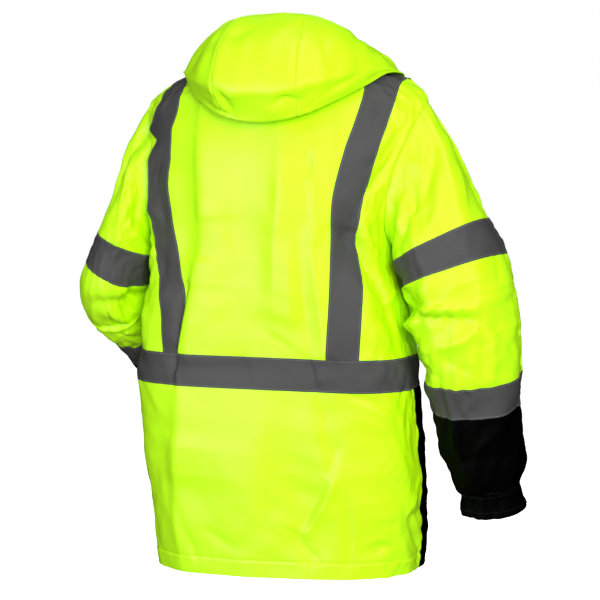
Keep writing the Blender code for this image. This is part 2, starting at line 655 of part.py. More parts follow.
def add_slider_and_pull(tape_top):
    """The slider clips over the tapes' top end; its pin carries the pull tab."""
    y, z = tape_top[1], tape_top[2]
    half = SLIDER_WIDTH / 2
    outer, inner = y - LAYER_GAP, y + TAPE + LAYER_GAP
    top, low = z + LAYER_GAP + SLIDER_PLATE, z + LAYER_GAP + SLIDER_PLATE - SLIDER_LENGTH
    face = outer - SLIDER_PLATE
    pin = (0.0, face - PIN_OUT, top - PIN_DOWN)
    plate = box((-half, face, low), (half, outer, top))
    steps = [("UNION", box((-half, outer - 0.5, top - SLIDER_PLATE), (half, inner + 0.5, top))),
             ("UNION", box((-half, inner, low + 1), (half, inner + SLIDER_PLATE, top)))]
    for side in (LEFT, RIGHT):
        ends = sorted((side * EAR_INNER, side * EAR_OUTER))
        steps.append(("UNION", box((ends[0], pin[1] - EYE_RADIUS, pin[2] - EYE_RADIUS),
                                   (ends[1], face + 0.5, pin[2] + EYE_RADIUS))))
    steps.append(("UNION", rod(pin, PIN_RADIUS, EAR_OUTER - 0.3)))
    paint(combined("zip_slider", plate, steps), DARK_METAL)

    eye = rod(pin, EYE_RADIUS, EYE_HALF)
    thin = PULL_THICKNESS / 2
    steps = [("UNION", box((-EYE_HALF, pin[1] - thin, pin[2] - 9), (EYE_HALF, pin[1] + thin, pin[2] - 1.3))),
             ("UNION", box((-PULL_WIDTH / 2, pin[1] - thin, pin[2] - PULL_LENGTH),
                           (PULL_WIDTH / 2, pin[1] + thin, pin[2] - 8))),
             ("DIFFERENCE", rod(pin, EYE_HOLE, EYE_HALF + 2))]
    paint(combined("zip_pull", eye, steps, pin), DARK_METAL)


def height_on_body(x, y):
    """Height of the shoulders' surface at a place seen from above, or nothing outside them."""
    side, face = (LEFT if x > 0 else RIGHT), (BACK if y > 0 else FRONT)

    def reach(level):
        _, left, right, back, front, centre_y, square, _, _ = curve(BODY, level)
        across = abs(x) / (left if side == LEFT else right)
        deep = max(face * (y - centre_y), 0.0) / (back if face == BACK else front)
        return across**square + deep**square - 1, deep

    low, high = 690.0, NECK_LEVEL
    if reach(low)[0] > 0 or reach(high)[0] < 0:
        return None
    for _ in range(30):
        middle = (low + high) / 2
        if reach(middle)[0] < 0:
            low = middle
        else:
            high = middle
    row = curve(BODY, low)
    return row[0] - (row[7] * reach(low)[1] ** 2 if face == FRONT else 0.0)


def clear_of_body(point, clearance):
    """The point, lifted where it would come within the clearance of the shoulders."""
    near = point[:2] * (1 - clearance / max(np.linalg.norm(point[:2]), 1.0))
    floor = height_on_body(*near)
    if floor is None or point[2] > floor + clearance:
        return point
    return np.array([point[0], point[1], floor + clearance])


def hood_profile(turn, side):
    """Points of the hood in one direction from the neck seam, by the fold, to the turned-in
    hem of its opening."""
    face, theta = (BACK, math.radians(turn)) if turn <= 90 else (FRONT, math.radians(180 - turn))
    row = curve(HOOD, turn)
    fold, bulge, brim = (row[i:i + 3] * [side, 1, 1] + [HOOD_SHIFT, 0, 0] for i in (0, 3, 6))
    spot = (NECK_LEVEL - 3, theta, side, face)
    seam = body(*spot) + 0.6 * normal_of(body, *spot)
    up = np.array([0, 0, 1.0])
    out = unit((fold - seam) * [1, 1, 0])
    small = min(np.linalg.norm(brim - fold) / 90, 1.0)
    points = [seam, seam + (fold - seam) * 0.3, seam + (fold - seam) * 0.64,
              fold - out * 13 * small + up * 3 * small, fold - out * 2]
    points = points[:1] + [clear_of_body(p, 6.0) for p in points[1:]]
    start = points[-1] + (out * 6 + up * 8) * small
    points += [start, (start + bulge) / 2 + out * 2 * small, bulge]
    crest = bulge + (brim - bulge) * [0.22, 0.22, 0.80]
    for t in (0.3, 0.55, 0.8, 1.0):
        points.append((1 - t) ** 2 * bulge + 2 * t * (1 - t) * crest + t * t * brim)
    points += [brim - out * 7 * small - up * 4 * small,
               brim - out * 11 * small - up * BRIM_TURN_IN * small]
    return np.array(points)


def hood_turns():
    back = [90.0 * i / HOOD_BACK_CELLS for i in range(HOOD_BACK_CELLS + 1)]
    end = math.degrees(theta_at(NECK_LEVEL, ZIP_OPENING_HALF, LEFT))
    end = 180 - (end + (90 - end) / TO_NECK)
    front = [90 + (end - 90) * i / HOOD_FRONT_CELLS for i in range(1, HOOD_FRONT_CELLS + 1)]
    return back + front


def add_hood():
    turns = hood_turns()
    columns = [hood_profile(t, LEFT) for t in turns[::-1]] + [hood_profile(t, RIGHT) for t in turns[1:]]
    grid = np.array(columns).transpose(1, 0, 2)
    normals = grid_normals(grid, False)
    middle = len(turns) - 1
    spans = {"hood_left": (0, middle - HOOD_CENTRE_CELLS, ("last_column",)),
             "hood_centre": (middle - HOOD_CENTRE_CELLS, middle + HOOD_CENTRE_CELLS,
                             ("first_column", "last_column")),
             "hood_right": (middle + HOOD_CENTRE_CELLS, 2 * middle, ("first_column",))}
    for name, (low, high, edges) in spans.items():
        part = slice(low, high + 1)
        add_cloth(name, drawn_in(grid[:, part], edges), normals[:, part], False, YELLOW_CLOTH)


def main():
    for obj in list(bpy.data.objects):
        bpy.data.objects.remove(obj)
    halves = add_body()
    for side, name in ((LEFT, "left"), (RIGHT, "right")):
        add_sleeve(side, name)
    add_collar(halves)
    add_hood()
    tape_top = [add_zip_tape(halves, side, name) for side, name in ((LEFT, "left"), (RIGHT, "right"))]
    add_slider_and_pull((tape_top[0] + tape_top[1]) / 2)


main()
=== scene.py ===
"""Looks of a hi-vis work jacket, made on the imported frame.

Sizes are millimetres, as in the CAD source, and become metres in make_mesh(). The body is
one surface of rings from the hem (level 0) to the neck seam; every cut piece is a stretch of
that surface, of a sleeve's or of the hood's, with the cloth's folds worked into it.
"""

import json
import math
from collections import namedtuple

import bpy
import numpy as np
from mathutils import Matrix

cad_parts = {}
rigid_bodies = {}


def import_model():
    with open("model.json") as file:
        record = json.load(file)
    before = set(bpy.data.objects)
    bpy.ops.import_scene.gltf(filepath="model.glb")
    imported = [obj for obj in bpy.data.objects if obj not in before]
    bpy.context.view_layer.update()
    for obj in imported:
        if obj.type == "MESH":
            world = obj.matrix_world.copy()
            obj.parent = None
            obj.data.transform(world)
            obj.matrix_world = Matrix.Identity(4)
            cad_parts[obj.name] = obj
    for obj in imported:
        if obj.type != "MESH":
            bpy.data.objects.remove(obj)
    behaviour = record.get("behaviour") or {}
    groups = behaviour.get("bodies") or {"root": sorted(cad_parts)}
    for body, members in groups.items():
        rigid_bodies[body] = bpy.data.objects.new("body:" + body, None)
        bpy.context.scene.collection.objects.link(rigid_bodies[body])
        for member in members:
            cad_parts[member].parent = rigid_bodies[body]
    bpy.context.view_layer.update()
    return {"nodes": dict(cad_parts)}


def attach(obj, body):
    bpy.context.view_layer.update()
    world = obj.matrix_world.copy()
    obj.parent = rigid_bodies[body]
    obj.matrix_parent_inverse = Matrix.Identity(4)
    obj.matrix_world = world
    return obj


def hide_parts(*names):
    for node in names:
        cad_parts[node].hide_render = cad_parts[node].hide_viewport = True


MM_PER_METRE = 1000.0
BACK, FRONT = 1, -1
LEFT, RIGHT = 1, -1
SIDES = ((LEFT, "left"), (RIGHT, "right"))

# ---------------------------------------------------------------- sizes shared with the CAD
TAPE_WIDTH = 50.8
HEM_HEIGHT = 28.0
WAIST_TAPE_LEVEL = 317.0
ARMPIT_LEVEL = 513.0
SHOULDER_LEVEL = 748.0
NECK_LEVEL = 926.0
NECK_HALF_WIDTH = 80.0
COLLAR_HEIGHT = 58.0
WALL = 2.0                 # the CAD's cloth wall, which the zip and the collar are placed by
ZIP_COIL_HALF = 0.6
ZIP_OPENING_HALF = 8.0
ZIP_TAPE_HALF = 20.0
ZIP_TOP = 0.9
ARMHOLE_BACK, ARMHOLE_FRONT = 24.0, 26.0
UPPER_TAPE, LOWER_TAPE = 150.0, 377.0
CUFF_SEAM, SLEEVE_END = 558.0, 598.0
CAP_SLOPE = {LEFT: 0.75, RIGHT: 1.2}

# ---------------------------------------------------------------- sizes of the fine model
CLOTH = 1.1                # one layer of coated cloth
TAPE = 0.5
LAYER_GAP = 0.3
SEAM_INSET = 0.08
SPACING = 4.2              # distance between the fine grid's lines
RING = 120                 # points round a sleeve


def rows_of(kind, rows):
    """The table's rows, each as one of the given named tuples."""
    return tuple(kind(*row) for row in rows)


# The body's rings: half widths and half depths, the middle's place in y, how square the ring
# is, and how far its front and its left side hang lower.
Ring = namedtuple("Ring", "level height left right back front centre_y square front_drop left_drop")
BODY = rows_of(Ring, (
    (0, -809, 219, 221, 121, 128, -10, 2.8, 0, 8), (60, -748, 228, 226, 120, 131, -8, 2.8, 0, 4),
    (130, -675, 235, 228, 116, 134, -2, 2.9, 0, 2), (220, -583, 243, 223, 108, 138, 8, 3, 0, 0),
    (322, -481, 243, 213, 102, 142, 16, 3.1, 0, 0), (410, -393, 232, 201, 102, 144, 18, 3.1, 0, 0),
    (513, -290, 214, 180, 106, 142, 14, 2.9, 0, 0), (620, -188, 227, 196, 110, 136, 8, 2.6, 20, 0),
    (700, -110, 236, 228, 107, 126, 3, 2.1, 44, 0), (748, -66, 241, 238, 100, 116, 0, 1.8, 58, 0),
    (801, -33, 200, 200, 93, 110, 0, 1.75, 64, 0), (866, -14, 138, 138, 84, 102, 0, 1.85, 70, 0),
    (926, 0, 80, 80, 70, 92, 0, 2, 76, 0),
))
# Distance of the shoulder tapes' middles from the centre line.
Track = namedtuple("Track", "level left right")
TAPE_TRACK = rows_of(Track, (
    (0, 144, 131), (317, 146, 133), (438, 156, 138), (513, 170, 137), (590, 185, 139),
    (667, 187, 155), (716, 184, 168), (748, 181, 174), (801, 176, 175), (926, 170, 172),
))
# A sleeve's middle line and its half widths and depths; turn leans the section, in degrees.
Arm = namedtuple("Arm", "along x y z outer inner back fore square turn")
RIGHT_ARM = rows_of(Arm, (
    (150, 255, 14, -283, 86, 74, 84, 84, 2.3, 20), (201, 277, 15, -328, 90, 80, 84, 84, 2.3, 20),
    (245, 286, 17, -365, 92, 82, 84, 84, 2.3, 16), (285, 296, 16, -400, 89, 84, 82, 82, 2.3, 12),
    (316, 302, 12, -430, 85, 82, 80, 80, 2.3, 10), (347, 309, 7, -460, 77, 75, 74, 74, 2.3, 8),
    (380, 311, 1, -491, 72, 71, 70, 70, 2.2, 5), (416, 312, -6, -526, 68, 67, 67, 67, 2.2, 0),
    (459, 315, -14, -568, 65, 64, 65, 65, 2.2, 0), (490, 319, -20, -598, 66, 62, 63, 63, 2.2, 0),
    (540, 326, -30, -644, 58, 54, 56, 56, 2.2, 0), (558, 328, -37, -662, 48, 46, 49, 49, 2.1, 0),
    (598, 331, -46, -702, 53, 49, 52, 52, 2.1, 0),
))
LEFT_ARM = rows_of(Arm, (
    (150, 258, 18, -296, 60, 40, 88, 84, 2.3, 0), (201, 277, 20, -338, 64, 44, 86, 74, 2.3, 0),
    (240, 288, 13, -358, 68, 46, 86, 56, 2.3, 0), (285, 291, -6, -374, 67, 47, 86, 48, 2.3, 0),
    (330, 289, -30, -395, 62, 48, 80, 48, 2.3, 0), (377, 284, -60, -421, 62, 52, 70, 52, 2.2, 0),
    (428, 279, -97, -459, 60, 56, 64, 58, 2.2, 0), (492, 272, -144, -503, 58, 56, 60, 58, 2.2, 0),
    (540, 266, -179, -536, 52, 52, 54, 53, 2.2, 0), (558, 264, -192, -548, 44, 44, 47, 46, 2.1, 0),
    (598, 259, -221, -576, 47, 47, 50, 49, 2.1, 0),
))
# The hood in directions round the neck, in degrees from the centre back: its fold, the bulge
# above it and its brim.
Hood = namedtuple("Hood", "turn fold_x fold_y fold_z bulge_x bulge_y bulge_z brim_x brim_y brim_z")
HOOD = rows_of(Hood, (
    (0, 0, 140, -97, 0, 166, -46, 0, 80, 71), (15, 42, 138, -93, 46, 162, -44, 37, 79, 70),
    (30, 78, 128, -83, 88, 148, -36, 68, 72, 66), (45, 110, 108, -67, 122, 120, -26, 96, 58, 54),
    (60, 140, 80, -50, 149, 84, -17, 112, 38, 40), (75, 166, 44, -38, 168, 44, -12, 117, 14, 31),
    (90, 181, 2, -33, 174, 2, -14, 113, -12, 23),
    (105, 174, -38, -42, 164, -36, -20, 102, -38, 13),
    (120, 150, -72, -60, 141, -70, -42, 86, -62, -6),
    (135, 112, -98, -76, 106, -98, -64, 66, -84, -30),
    (154, 65, -108, -84, 63, -108, -70, 44, -100, -50),
))
HOOD_SHIFT = -9.0
HOOD_BACK_CELLS, HOOD_FRONT_CELLS, HOOD_CENTRE_CELLS = 8, 6, 2
HOOD_NECK_CELLS = 4        # cells of the neck seam on each quarter
BRIM_TURN_IN = 24.0
HOOD_FINE = 7              # fine cells for each cell of the hood's control grid

# ---------------------------------------------------------------- folds and creases
# Each lies on a line from a to b. along is the level on the body or the length down a
# sleeve; turn is in degrees from the centre back towards the wearer's left, or round a
# sleeve from its outer side by the back. bow bends the line sideways; depth is negative for
# a trough; lip raises one side of the line and sinks the other; far is the width on that
# side, where it differs.
Crease = namedtuple("Crease", "along_a turn_a along_b turn_b bow width depth lip far",
                    defaults=(0.0, 0.0))
BODY_CREASES = rows_of(Crease, (
    # the large soft folds, as in the solids
    (420, 30, 640, 34, 0, 34, -6), (290, 4, 560, 8, 0, 40, -5), (120, -14, 420, -16, 0, 36, -4),
    (20, -24, 170, -16, 0, 26, -5), (40, 32, 260, 24, 0, 34, -4), (30, 8, 230, 4, 0, 40, 4),
    (360, -68, 560, -44, 0, 26, -9), (420, -34, 560, -48, 0, 24, -6),
    (80, 150, 420, 160, 0, 40, -5), (60, -140, 360, -152, 0, 44, -5),
    (360, 118, 600, 132, 0, 36, -6), (330, -122, 580, -136, 0, 38, -6),
    # the back runs on to the right sleeve
    (660, 63, 490, 59, 0, 26, 9), (735, -77, 630, -67, 0, 24, 5.5),
    (640, -67, 535, -79, 0, 24, 5.5),
    # back, above the waist tape
    (742, 27, 570, 25, 2, 13, 6, 0, 60), (590, 25, 460, 28, 2, 12, 4.6, 0, 55),
    (480, 27, 336, 24, 0, 13, 5.5, 0, 55), (450, 31, 326, 31, 0, 8, -5),
    (716, -8, 560, -11, 2, 24, 5.5, 0, 55), (590, -11, 420, -8, -3, 24, 4, 0, 50),
    (672, -24, 526, -29, 0, 7, 2.6, 0, 9), (656, -20, 638, -24, 0, 7, -3.2),
    (540, -26, 352, -28, 3, 12, 4.4, 0, 42), (506, -17, 394, -15, 0, 32, 2.4, 0, 9),
    (486, -20, 354, -22, 0, 6, -1.6, 0, 16), (720, -28, 592, -34, 2, 5, -1.3, 0.3),
    (384, -3, 358, -16, 0, 7, -0.9, 0.4), (684, -65, 596, -52, 5, 9, -3.6, 1.6),
    (562, -50, 486, -56, 2, 8, -4.6, 0.8), (562, -53, 506, -66, 2, 8, 3),
    (548, -62, 518, -66, 0, 6, -3, 0.6), (536, -50, 385, -72, 6, 12, -3, 1.8),
    (458, -47, 422, -61, 2, 8, 2.4), (420, -62, 444, -82, 3, 8, 2.4),
    (366, -55, 346, -75, 2, 6, -2, 0.6), (546, -34, 538, -54, 2, 9, -3.4, 1.2),
    (640, 50, 470, 44, 0, 13, -2.6, 0.8), (610, 8, 500, 12, 3, 16, -1.4),
    (470, 8, 380, 4, 0, 18, 1.6),
    # back, below the waist tape
    (300, 31, 160, 33, 3, 22, 8.5, 0, 70), (190, 33, 14, 36, 0, 22, 9, 0, 70),
    (282, 47, 246, 41, 0, 8, 1.6), (154, 43, 102, 43, 0, 7, 1.5), (66, 31, 22, 28, 0, 5, -1.3),
    (110, 35, 38, 31, 0, 5, -1.3), (296, -24, 168, -29, 2, 8, -3, 0, 32),
    (206, -31, 170, -28, 0, 6, -1.5, 0.3), (172, -31, 74, -19, 4, 8, 3.2, 0, 8),
    (150, -26, 70, -16, 0, 6, -1.5, 0.4), (122, -34, 26, -36, 2, 6, -2.4, 0.5),
    (66, -38, 38, -40, 0, 5, -1.2), (46, -41, 57, -49, 0, 6, -1.8, 0.4),
    (58, -47, 30, -64, 2, 6, -1.8, 0.6), (38, -42, 53, -52, 0, 5, -1.4),
    (54, -50, 52, -61, 0, 5, -1.4, 0.4), (100, -66, 148, -86, 2, 7, 2.4),
    (96, -70, 101, -90, 0, 7, -3, 0.8), (92, -68, 26, -88, 4, 10, -2.6, 0.6),
    (290, -36, 254, -64, 4, 6, -2.2, 0.6), (276, -38, 264, -49, 0, 6, 1.2),
    (248, -50, 200, -78, 3, 18, -3.2), (62, -15, 30, -24, 0, 6, -1.5, 0.5),
    (82, -9, 58, -20, 0, 7, -1.2, 0.5), (70, 22, 48, 12, 0, 7, -1.2, 0.5),
    (120, 62, 40, 54, 3, 10, -2.4, 0.9), (250, 0, 150, 3, 0, 22, 1.4),
    # across the waist tape
    (350, 33, 290, 33, 0, 6, -2.2, 0.6), (344, -22, 300, -24, 0, 6, -1.5, 0.6),
    (344, -31, 300, -37, 0, 6, -1.6, 0.6), (342, 6, 298, 4, 0, 8, -0.9, 0.3),
    (344, -58, 294, -62, 0, 8, -1.6, 0.6),
    # fronts
    (600, 112, 500, 138, 8, 12, -3.4, 1.6), (560, 106, 440, 122, 6, 13, -3, 1.2),
    (596, -112, 510, -134, -8, 12, -3.2, 1.4), (540, -104, 420, -118, -6, 12, -3, 1.4),
    (700, 140, 590, 150, 4, 13, 3.4, 0, 45), (690, -142, 560, -152, -4, 14, 3.6, 0, 50),
    (470, 160, 350, 156, 3, 14, -2.6, 0.8), (450, -162, 340, -154, -3, 13, -2.6, 0.8),
    (280, 120, 90, 112, 5, 20, -3.6, 0, 50), (260, -118, 80, -108, -5, 18, -3.6, 0, 45),
    (230, 146, 60, 140, 3, 14, 2.6, 0, 36), (210, -148, 50, -138, -3, 13, 2.8, 0, 40),
    (110, 100, 40, 108, 0, 8, -1.6, 0.8), (120, -96, 50, -104, 0, 8, -1.8, 0.8),
))
RIGHT_CREASES = rows_of(Crease, (
    (288, 20, 296, 170, 0, 18, -9), (20, 52, 96, 74, 2, 8, 3.6, 0, 26),
    (56, 40, 118, 60, 2, 7, 2.8, 0, 22), (44, 96, 104, 118, 2, 7, 3.2, 0, 22),
    (86, 22, 140, 34, 0, 8, 3, 0, 26), (252, 60, 262, 175, 0, 18, -5),
    (318, 40, 330, 130, 0, 18, -4), (30, 20, 120, 110, 0, 22, -6), (60, 70, 140, 160, 0, 18, -6),
    (470, 30, 540, 60, 0, 18, -4), (30, 300, 130, 230, 0, 24, -6), (292, 230, 286, 300, 0, 22, -5),
    # the cap and the upper arm
    (4, 26, 124, 41, 3, 26, 6, 0, 13), (34, 74, 82, 87, 0, 9, -2.4),
    (14, 112, 58, 107, 0, 12, -3.2), (14, 146, 90, 158, 0, 13, -4),
    (200, 43, 288, 58, 3, 16, 3.4, 0, 40), (206, 22, 232, 28, 0, 7, -2.4),
    (186, 154, 254, 142, 0, 19, -16),
    # the elbow
    (246, 128, 258, 88, 2, 5, 6, 0, 16), (258, 92, 270, 56, 0, 4, 4.6, 0, 14),
    (258, 124, 273, 86, 2, 6, -9.5, 0, 14), (271, 90, 284, 54, 0, 5, -7.5, 0, 13),
    (309, 106, 299, 66, 3, 16, 5, 0, 9), (301, 70, 283, 52, 0, 12, 3.8, 0, 8),
    (246, 114, 247, 182, 0, 10, -9), (265, 118, 267, 184, 0, 11, 8),
    (316, 136, 312, 182, 0, 12, -6), (300, 38, 340, 17, 0, 9, -3), (320, 44, 364, 50, 0, 6, 2),
    (310, 54, 346, 55, 0, 6, -2), (334, 100, 352, 80, 0, 7, -1.8, 0.9),
    (352, 60, 366, 30, 0, 7, -1.6, 0.8), (340, 140, 360, 118, 0, 7, -1.8, 0.8),
    # the black forearm
    (446, 34, 482, 82, 3, 14, 4.2, 0, 14), (500, 30, 486, 74, 0, 8, -2.4, 1),
    (528, 50, 544, 80, 0, 8, -2.4, 1),
    # the front
    (300, 210, 276, 262, 3, 9, -5, 0, 18), (318, 250, 300, 300, 2, 9, -4, 0, 18),
    (340, 200, 352, 240, 0, 8, -2, 1), (60, 250, 140, 225, 3, 10, -3.4, 0, 24),
    (450, 200, 520, 230, 3, 12, -3, 1), (470, 290, 540, 300, 2, 10, -2.4, 0.8),
))
LEFT_CREASES = rows_of(Crease, (
    (268, 170, 282, 60, 0, 18, -8), (300, 170, 292, 70, 0, 18, -8),
    (292, 190, 286, 280, 0, 24, -12), (320, 200, 310, 270, 0, 20, -8),
    (40, 50, 130, 120, 0, 22, -5), (30, 300, 130, 230, 0, 24, -6),
    # the upper arm
    (36, 50, 142, 97, 3, 9, 4.6, 0, 40), (102, 86, 90, 104, -2, 14, 3, 0, 30),
    (88, 102, 106, 134, 0, 14, 3, 0, 30), (60, 62, 30, 86, 0, 6, -1.4),
    (10, 96, 100, 120, 3, 9, -2.6, 0.8),
    # the crook of the arm
    (241, 54, 224, 98, 2, 14, -4.5, 0, 5), (227, 92, 215, 160, 2, 14, -7, 0, 5),
    (250, 76, 253, 106, 0, 13, -5, 0, 5), (250, 100, 300, 148, 3, 13, -7, 0, 5),
    (267, 78, 303, 96, 2, 11, -5, 0, 5), (299, 93, 338, 119, 2, 11, -5, 0, 5),
    (206, 142, 222, 156, 0, 9, -4), (234, 106, 242, 128, 0, 8, -1.8),
    (221, 145, 245, 130, 2, 6, -1.8, 0.6), (350, 60, 372, 110, 0, 8, -2.4, 1),
    (300, 20, 350, 50, 0, 9, -2.8, 1.2),
    # the front and the black forearm
    (270, 250, 300, 320, 4, 9, -5, 0, 18), (320, 240, 345, 310, 3, 9, -4, 0, 18),
    (60, 250, 140, 222, 3, 10, -3.4, 0, 24), (440, 40, 520, 60, 3, 12, -3, 1),
    (450, 170, 530, 200, 3, 12, -2.8, 1), (440, 290, 520, 310, 3, 12, -2.8, 1),
))
# On the hood turn is the direction round the neck and along the row of its control grid.
HOOD_CREASES = rows_of(Crease, (
    (9.2, 21, 6.3, 22, -1, 15, 4.5, 0, 40), (6.9, 22, 6.3, 17, 1, 5, -3),
    (6.5, 18, 5, 16, 1, 5, -4, 0, 8), (5.1, 38, 5, 22, 0, 6, -3), (5.1, 24, 4.2, 10, 1, 6, -3),
    (5.8, -9, 6.2, -16, 0, 6, -3.2, 0.6), (6.2, -15, 5.7, -25, 0, 6, -3, 0.6),
    (8.8, -36, 7.8, -39, 0, 6, -1.6), (8.5, 33, 8.9, 14, 3, 14, -2.6), (9, 16, 9.6, 4, 0, 8, -1.6),
    (7.4, 2, 7, -14, 0, 16, -1.6), (8.5, 10, 7.8, -8, 0, 16, 1.6),
    (6.6, -60, 5.6, -40, 2, 10, -2.6, 1), (8, 46, 7.2, 60, 2, 11, -3),
    (8.8, 60, 6.4, 74, 2, 12, -2.8, 0.8), (9.4, -80, 7.2, -90, 2, 12, -2.8, 0.8),
    (9.2, 84, 7.2, 96, 2, 12, -2.8, 0.8), (9.6, 120, 6.8, 126, 2, 9, -2.4, 0.8),
    (9.6, -118, 6.8, -126, 2, 9, -2.4, 0.8),
))
BODY_TURN, ARM_TURN, HOOD_TURN, HOOD_ROW = 3.4, 1.45, 2.4, 21.0    # mm for a degree or a row
SOFT_WIDTH = 16.0          # creases this wide are waves, narrower ones have a crisp line
CRISP_ROUND = 0.22         # how round that line is, in widths
CRISP_DEPTH = 1.65         # crisp creases are narrower at the same depth, so they get more


# ---------------------------------------------------------------- tables and curves
def hermite(t, a, b, slope_a, slope_b):
    """A smooth curve from a to b, with its slopes there; t runs from 0 to 1."""
    return ((2 * t**3 - 3 * t**2 + 1) * a + (t**3 - 2 * t**2 + t) * slope_a
            + (3 * t**2 - 2 * t**3) * b + (t**3 - t**2) * slope_b)


def curve(table, at):
    """The table's columns at positions in its first column, on smooth curves."""
    keys = np.array([row[0] for row in table], float)
    values = np.array([row[1:] for row in table], float)
    slopes = np.gradient(values, keys, axis=0)
    at = np.clip(np.asarray(at, float), keys[0], keys[-1])
    i = np.clip(np.searchsorted(keys, at, side="right") - 1, 0, len(keys) - 2)
    span = (keys[i + 1] - keys[i])[..., None]
    t = (at - keys[i])[..., None] / span
    return hermite(t, values[i], values[i + 1], span * slopes[i], span * slopes[i + 1])


def unit(v):
    return v / np.maximum(np.linalg.norm(v, axis=-1, keepdims=True), 1e-12)


def relief(creases, along, turn, along_mm, turn_mm):
    """How far the creases push each point of a surface out: wide ones as soft waves, narrow
    ones with a crisp line."""
    total = np.zeros(np.shape(along))
    for c in creases:
        ax, ay = c.along_a * along_mm, c.turn_a * turn_mm
        dx, dy = c.along_b * along_mm - ax, c.turn_b * turn_mm - ay
        length = math.hypot(dx, dy)
        px, py = along * along_mm - ax, turn * turn_mm - ay
        t = (px * dx + py * dy) / length**2
        inside = np.clip(t, 0, 1)
        beyond = (t - inside) * length / c.width
        off = (py * dx - px * dy) / length - c.bow * 4 * inside * (1 - inside)
        off = off / np.where(off > 0, c.far or c.width, c.width)
        if c.width < SOFT_WIDTH or c.far:
            shape = CRISP_DEPTH * np.exp(
                -1.25 * (np.sqrt(off * off + CRISP_ROUND**2) - CRISP_ROUND))
        else:
            shape = np.exp(-off * off)
        fade = shape * np.exp(-beyond * beyond) * (0.55 + 0.45 * np.sin(np.pi * inside))
        total += (c.depth + 2.3 * c.lip * off) * fade
    return total


def crumple(u, v, seed, sizes, strength):
    """Small crisp unevenness of coated cloth: crossing ridges in all directions, in patches.
    u and v are lengths in millimetres; each size is drawn three times."""
    draw = np.random.default_rng(seed)
    total = np.zeros(np.shape(u))
    for size in sizes:
        for _ in range(3):
            angle, phase, bend, patch = draw.uniform(0, 2 * np.pi, 4)
            across = u * math.cos(angle) + v * math.sin(angle)
            along = v * math.cos(angle) - u * math.sin(angle)
            w = across / size + 0.3 * np.sin(along / size * 1.7 + bend) + phase
            ridge = 2 * np.abs(2 * (w - np.floor(w)) - 1) - 1
            where = 0.5 + 0.5 * np.sin(
                along / size * 0.9 + 0.7 * np.sin(across / size * 0.6 + patch))
            total += size * (0.6 * ridge + 0.4 * np.cos(2 * np.pi * w)) * where**2
    return total * strength


# ---------------------------------------------------------------- the body's surface
def bare_body(level, theta, side, face):
    """Points of the body without folds; theta is 0 at the centre line, 90 degrees at the side."""
    height, left, right, back, front, centre_y, square, drop, left_drop = np.moveaxis(
        curve(BODY, level), -1, 0)
    s, c = np.sin(theta), np.cos(theta)
    reach = (np.abs(s) ** square + np.abs(c) ** square) ** (-1 / square)
    across, deep = reach * s, reach * c
    return np.stack([side * (left if side == LEFT else right) * across,
                     centre_y + face * (back if face == BACK else front) * deep,
                     height - (drop * deep * deep if face == FRONT else 0.0)
                     - side * left_drop * across], -1)


def body_normal(level, theta, side, face):
    """Outward directions on the body without folds."""
    up, down = np.minimum(level + 1.0, NECK_LEVEL), np.maximum(level - 1.0, 0.0)
    d_level = bare_body(up, theta, side, face) - bare_body(down, theta, side, face)
    d_theta = (bare_body(level, theta + 0.005, side, face)
               - bare_body(level, np.maximum(theta - 0.005, 0), side, face))
    return unit(np.cross(d_level, d_theta)) * side * face


def body_turn(theta, side, face):
    """Degrees round the body from the centre back, positive on the wearer's left."""
    return side * (np.degrees(theta) if face == BACK else 180 - np.degrees(theta))


# How the cloth is drawn sideways beside the back's vertical tapes: over the left tape's lower
# end, out at its knee below the shoulder, and over the right tape's pinch. A tuck is whole
# between the turns whole and full and fades to begins and ends; degrees outwards by level.
Tuck = namedtuple("Tuck", "begins whole full ends by_level")
TUCKS = {
    LEFT: (Tuck(5, 27, 27, 33, ((270, 0), (318, 4.6), (348, 5.2), (428, 2.6), (480, 0))),
           Tuck(42, 56, 64, 88, ((650, 0), (688, -3.5), (704, 11.0), (716, 6.0), (745, 0)))),
    RIGHT: (Tuck(38, 47, 47, 82, ((470, 0), (500, -1.6), (534, -4.8), (556, -3.4), (615, 0))),),
}


def tucked(level, theta, side, face):
    """The ring angle with the cloth beside the back's tapes drawn sideways."""
    if face == FRONT:
        return theta
    turn = np.degrees(theta)
    for tuck in TUCKS[side]:
        share = np.interp(turn, tuck[:4], (0, 1, 1, 0))
        theta = theta + np.radians(np.interp(level, *zip(*tuck.by_level))) * share
    return theta


BACK_SMOOTH, BACK_UNEVEN = 36.0, 56.0      # degrees: the back's middle is smoother than its sides
CALM_FROM, CALM_TO, CALM_HEIGHT = 30.0, 60.0, 330.0    # the left side's skirt hangs smoothly
ZIP_CALM = 16.0            # degrees beside the zip over which the unevenness fades


def body_unevenness(level, turn):
    """The cloth's small unevenness: less on the back's middle and none along the zip, where
    the two fronts meet."""
    to_side = np.clip((np.abs(turn) - BACK_SMOOTH) / (BACK_UNEVEN - BACK_SMOOTH), 0, 1)
    calm = 1 - 0.75 * np.clip((turn - CALM_FROM) / (CALM_TO - CALM_FROM), 0, 1) * np.clip(
        (CALM_HEIGHT - level) / 60, 0, 1)
    calm = calm * np.clip((179 - np.abs(turn)) / ZIP_CALM, 0, 1)
    large = crumple(level, turn * BODY_TURN, 5, (120, 70, 42), 1.0) * (0.008 + 0.013 * to_side)
    return (large + crumple(level, turn * BODY_TURN, 8, (30, 19), 0.03) * to_side) * calm


def body(level, theta, side, face):
    """Points and normals of the body with its folds and the cloth's unevenness."""
    turn = body_turn(theta, side, face)
    theta = tucked(level, theta, side, face)
    push = relief(BODY_CREASES, level, turn, 1.0, BODY_TURN) + body_unevenness(level, turn)
    normals = body_normal(level, theta, side, face)
    return bare_body(level, theta, side, face) + push[..., None] * normals, normals


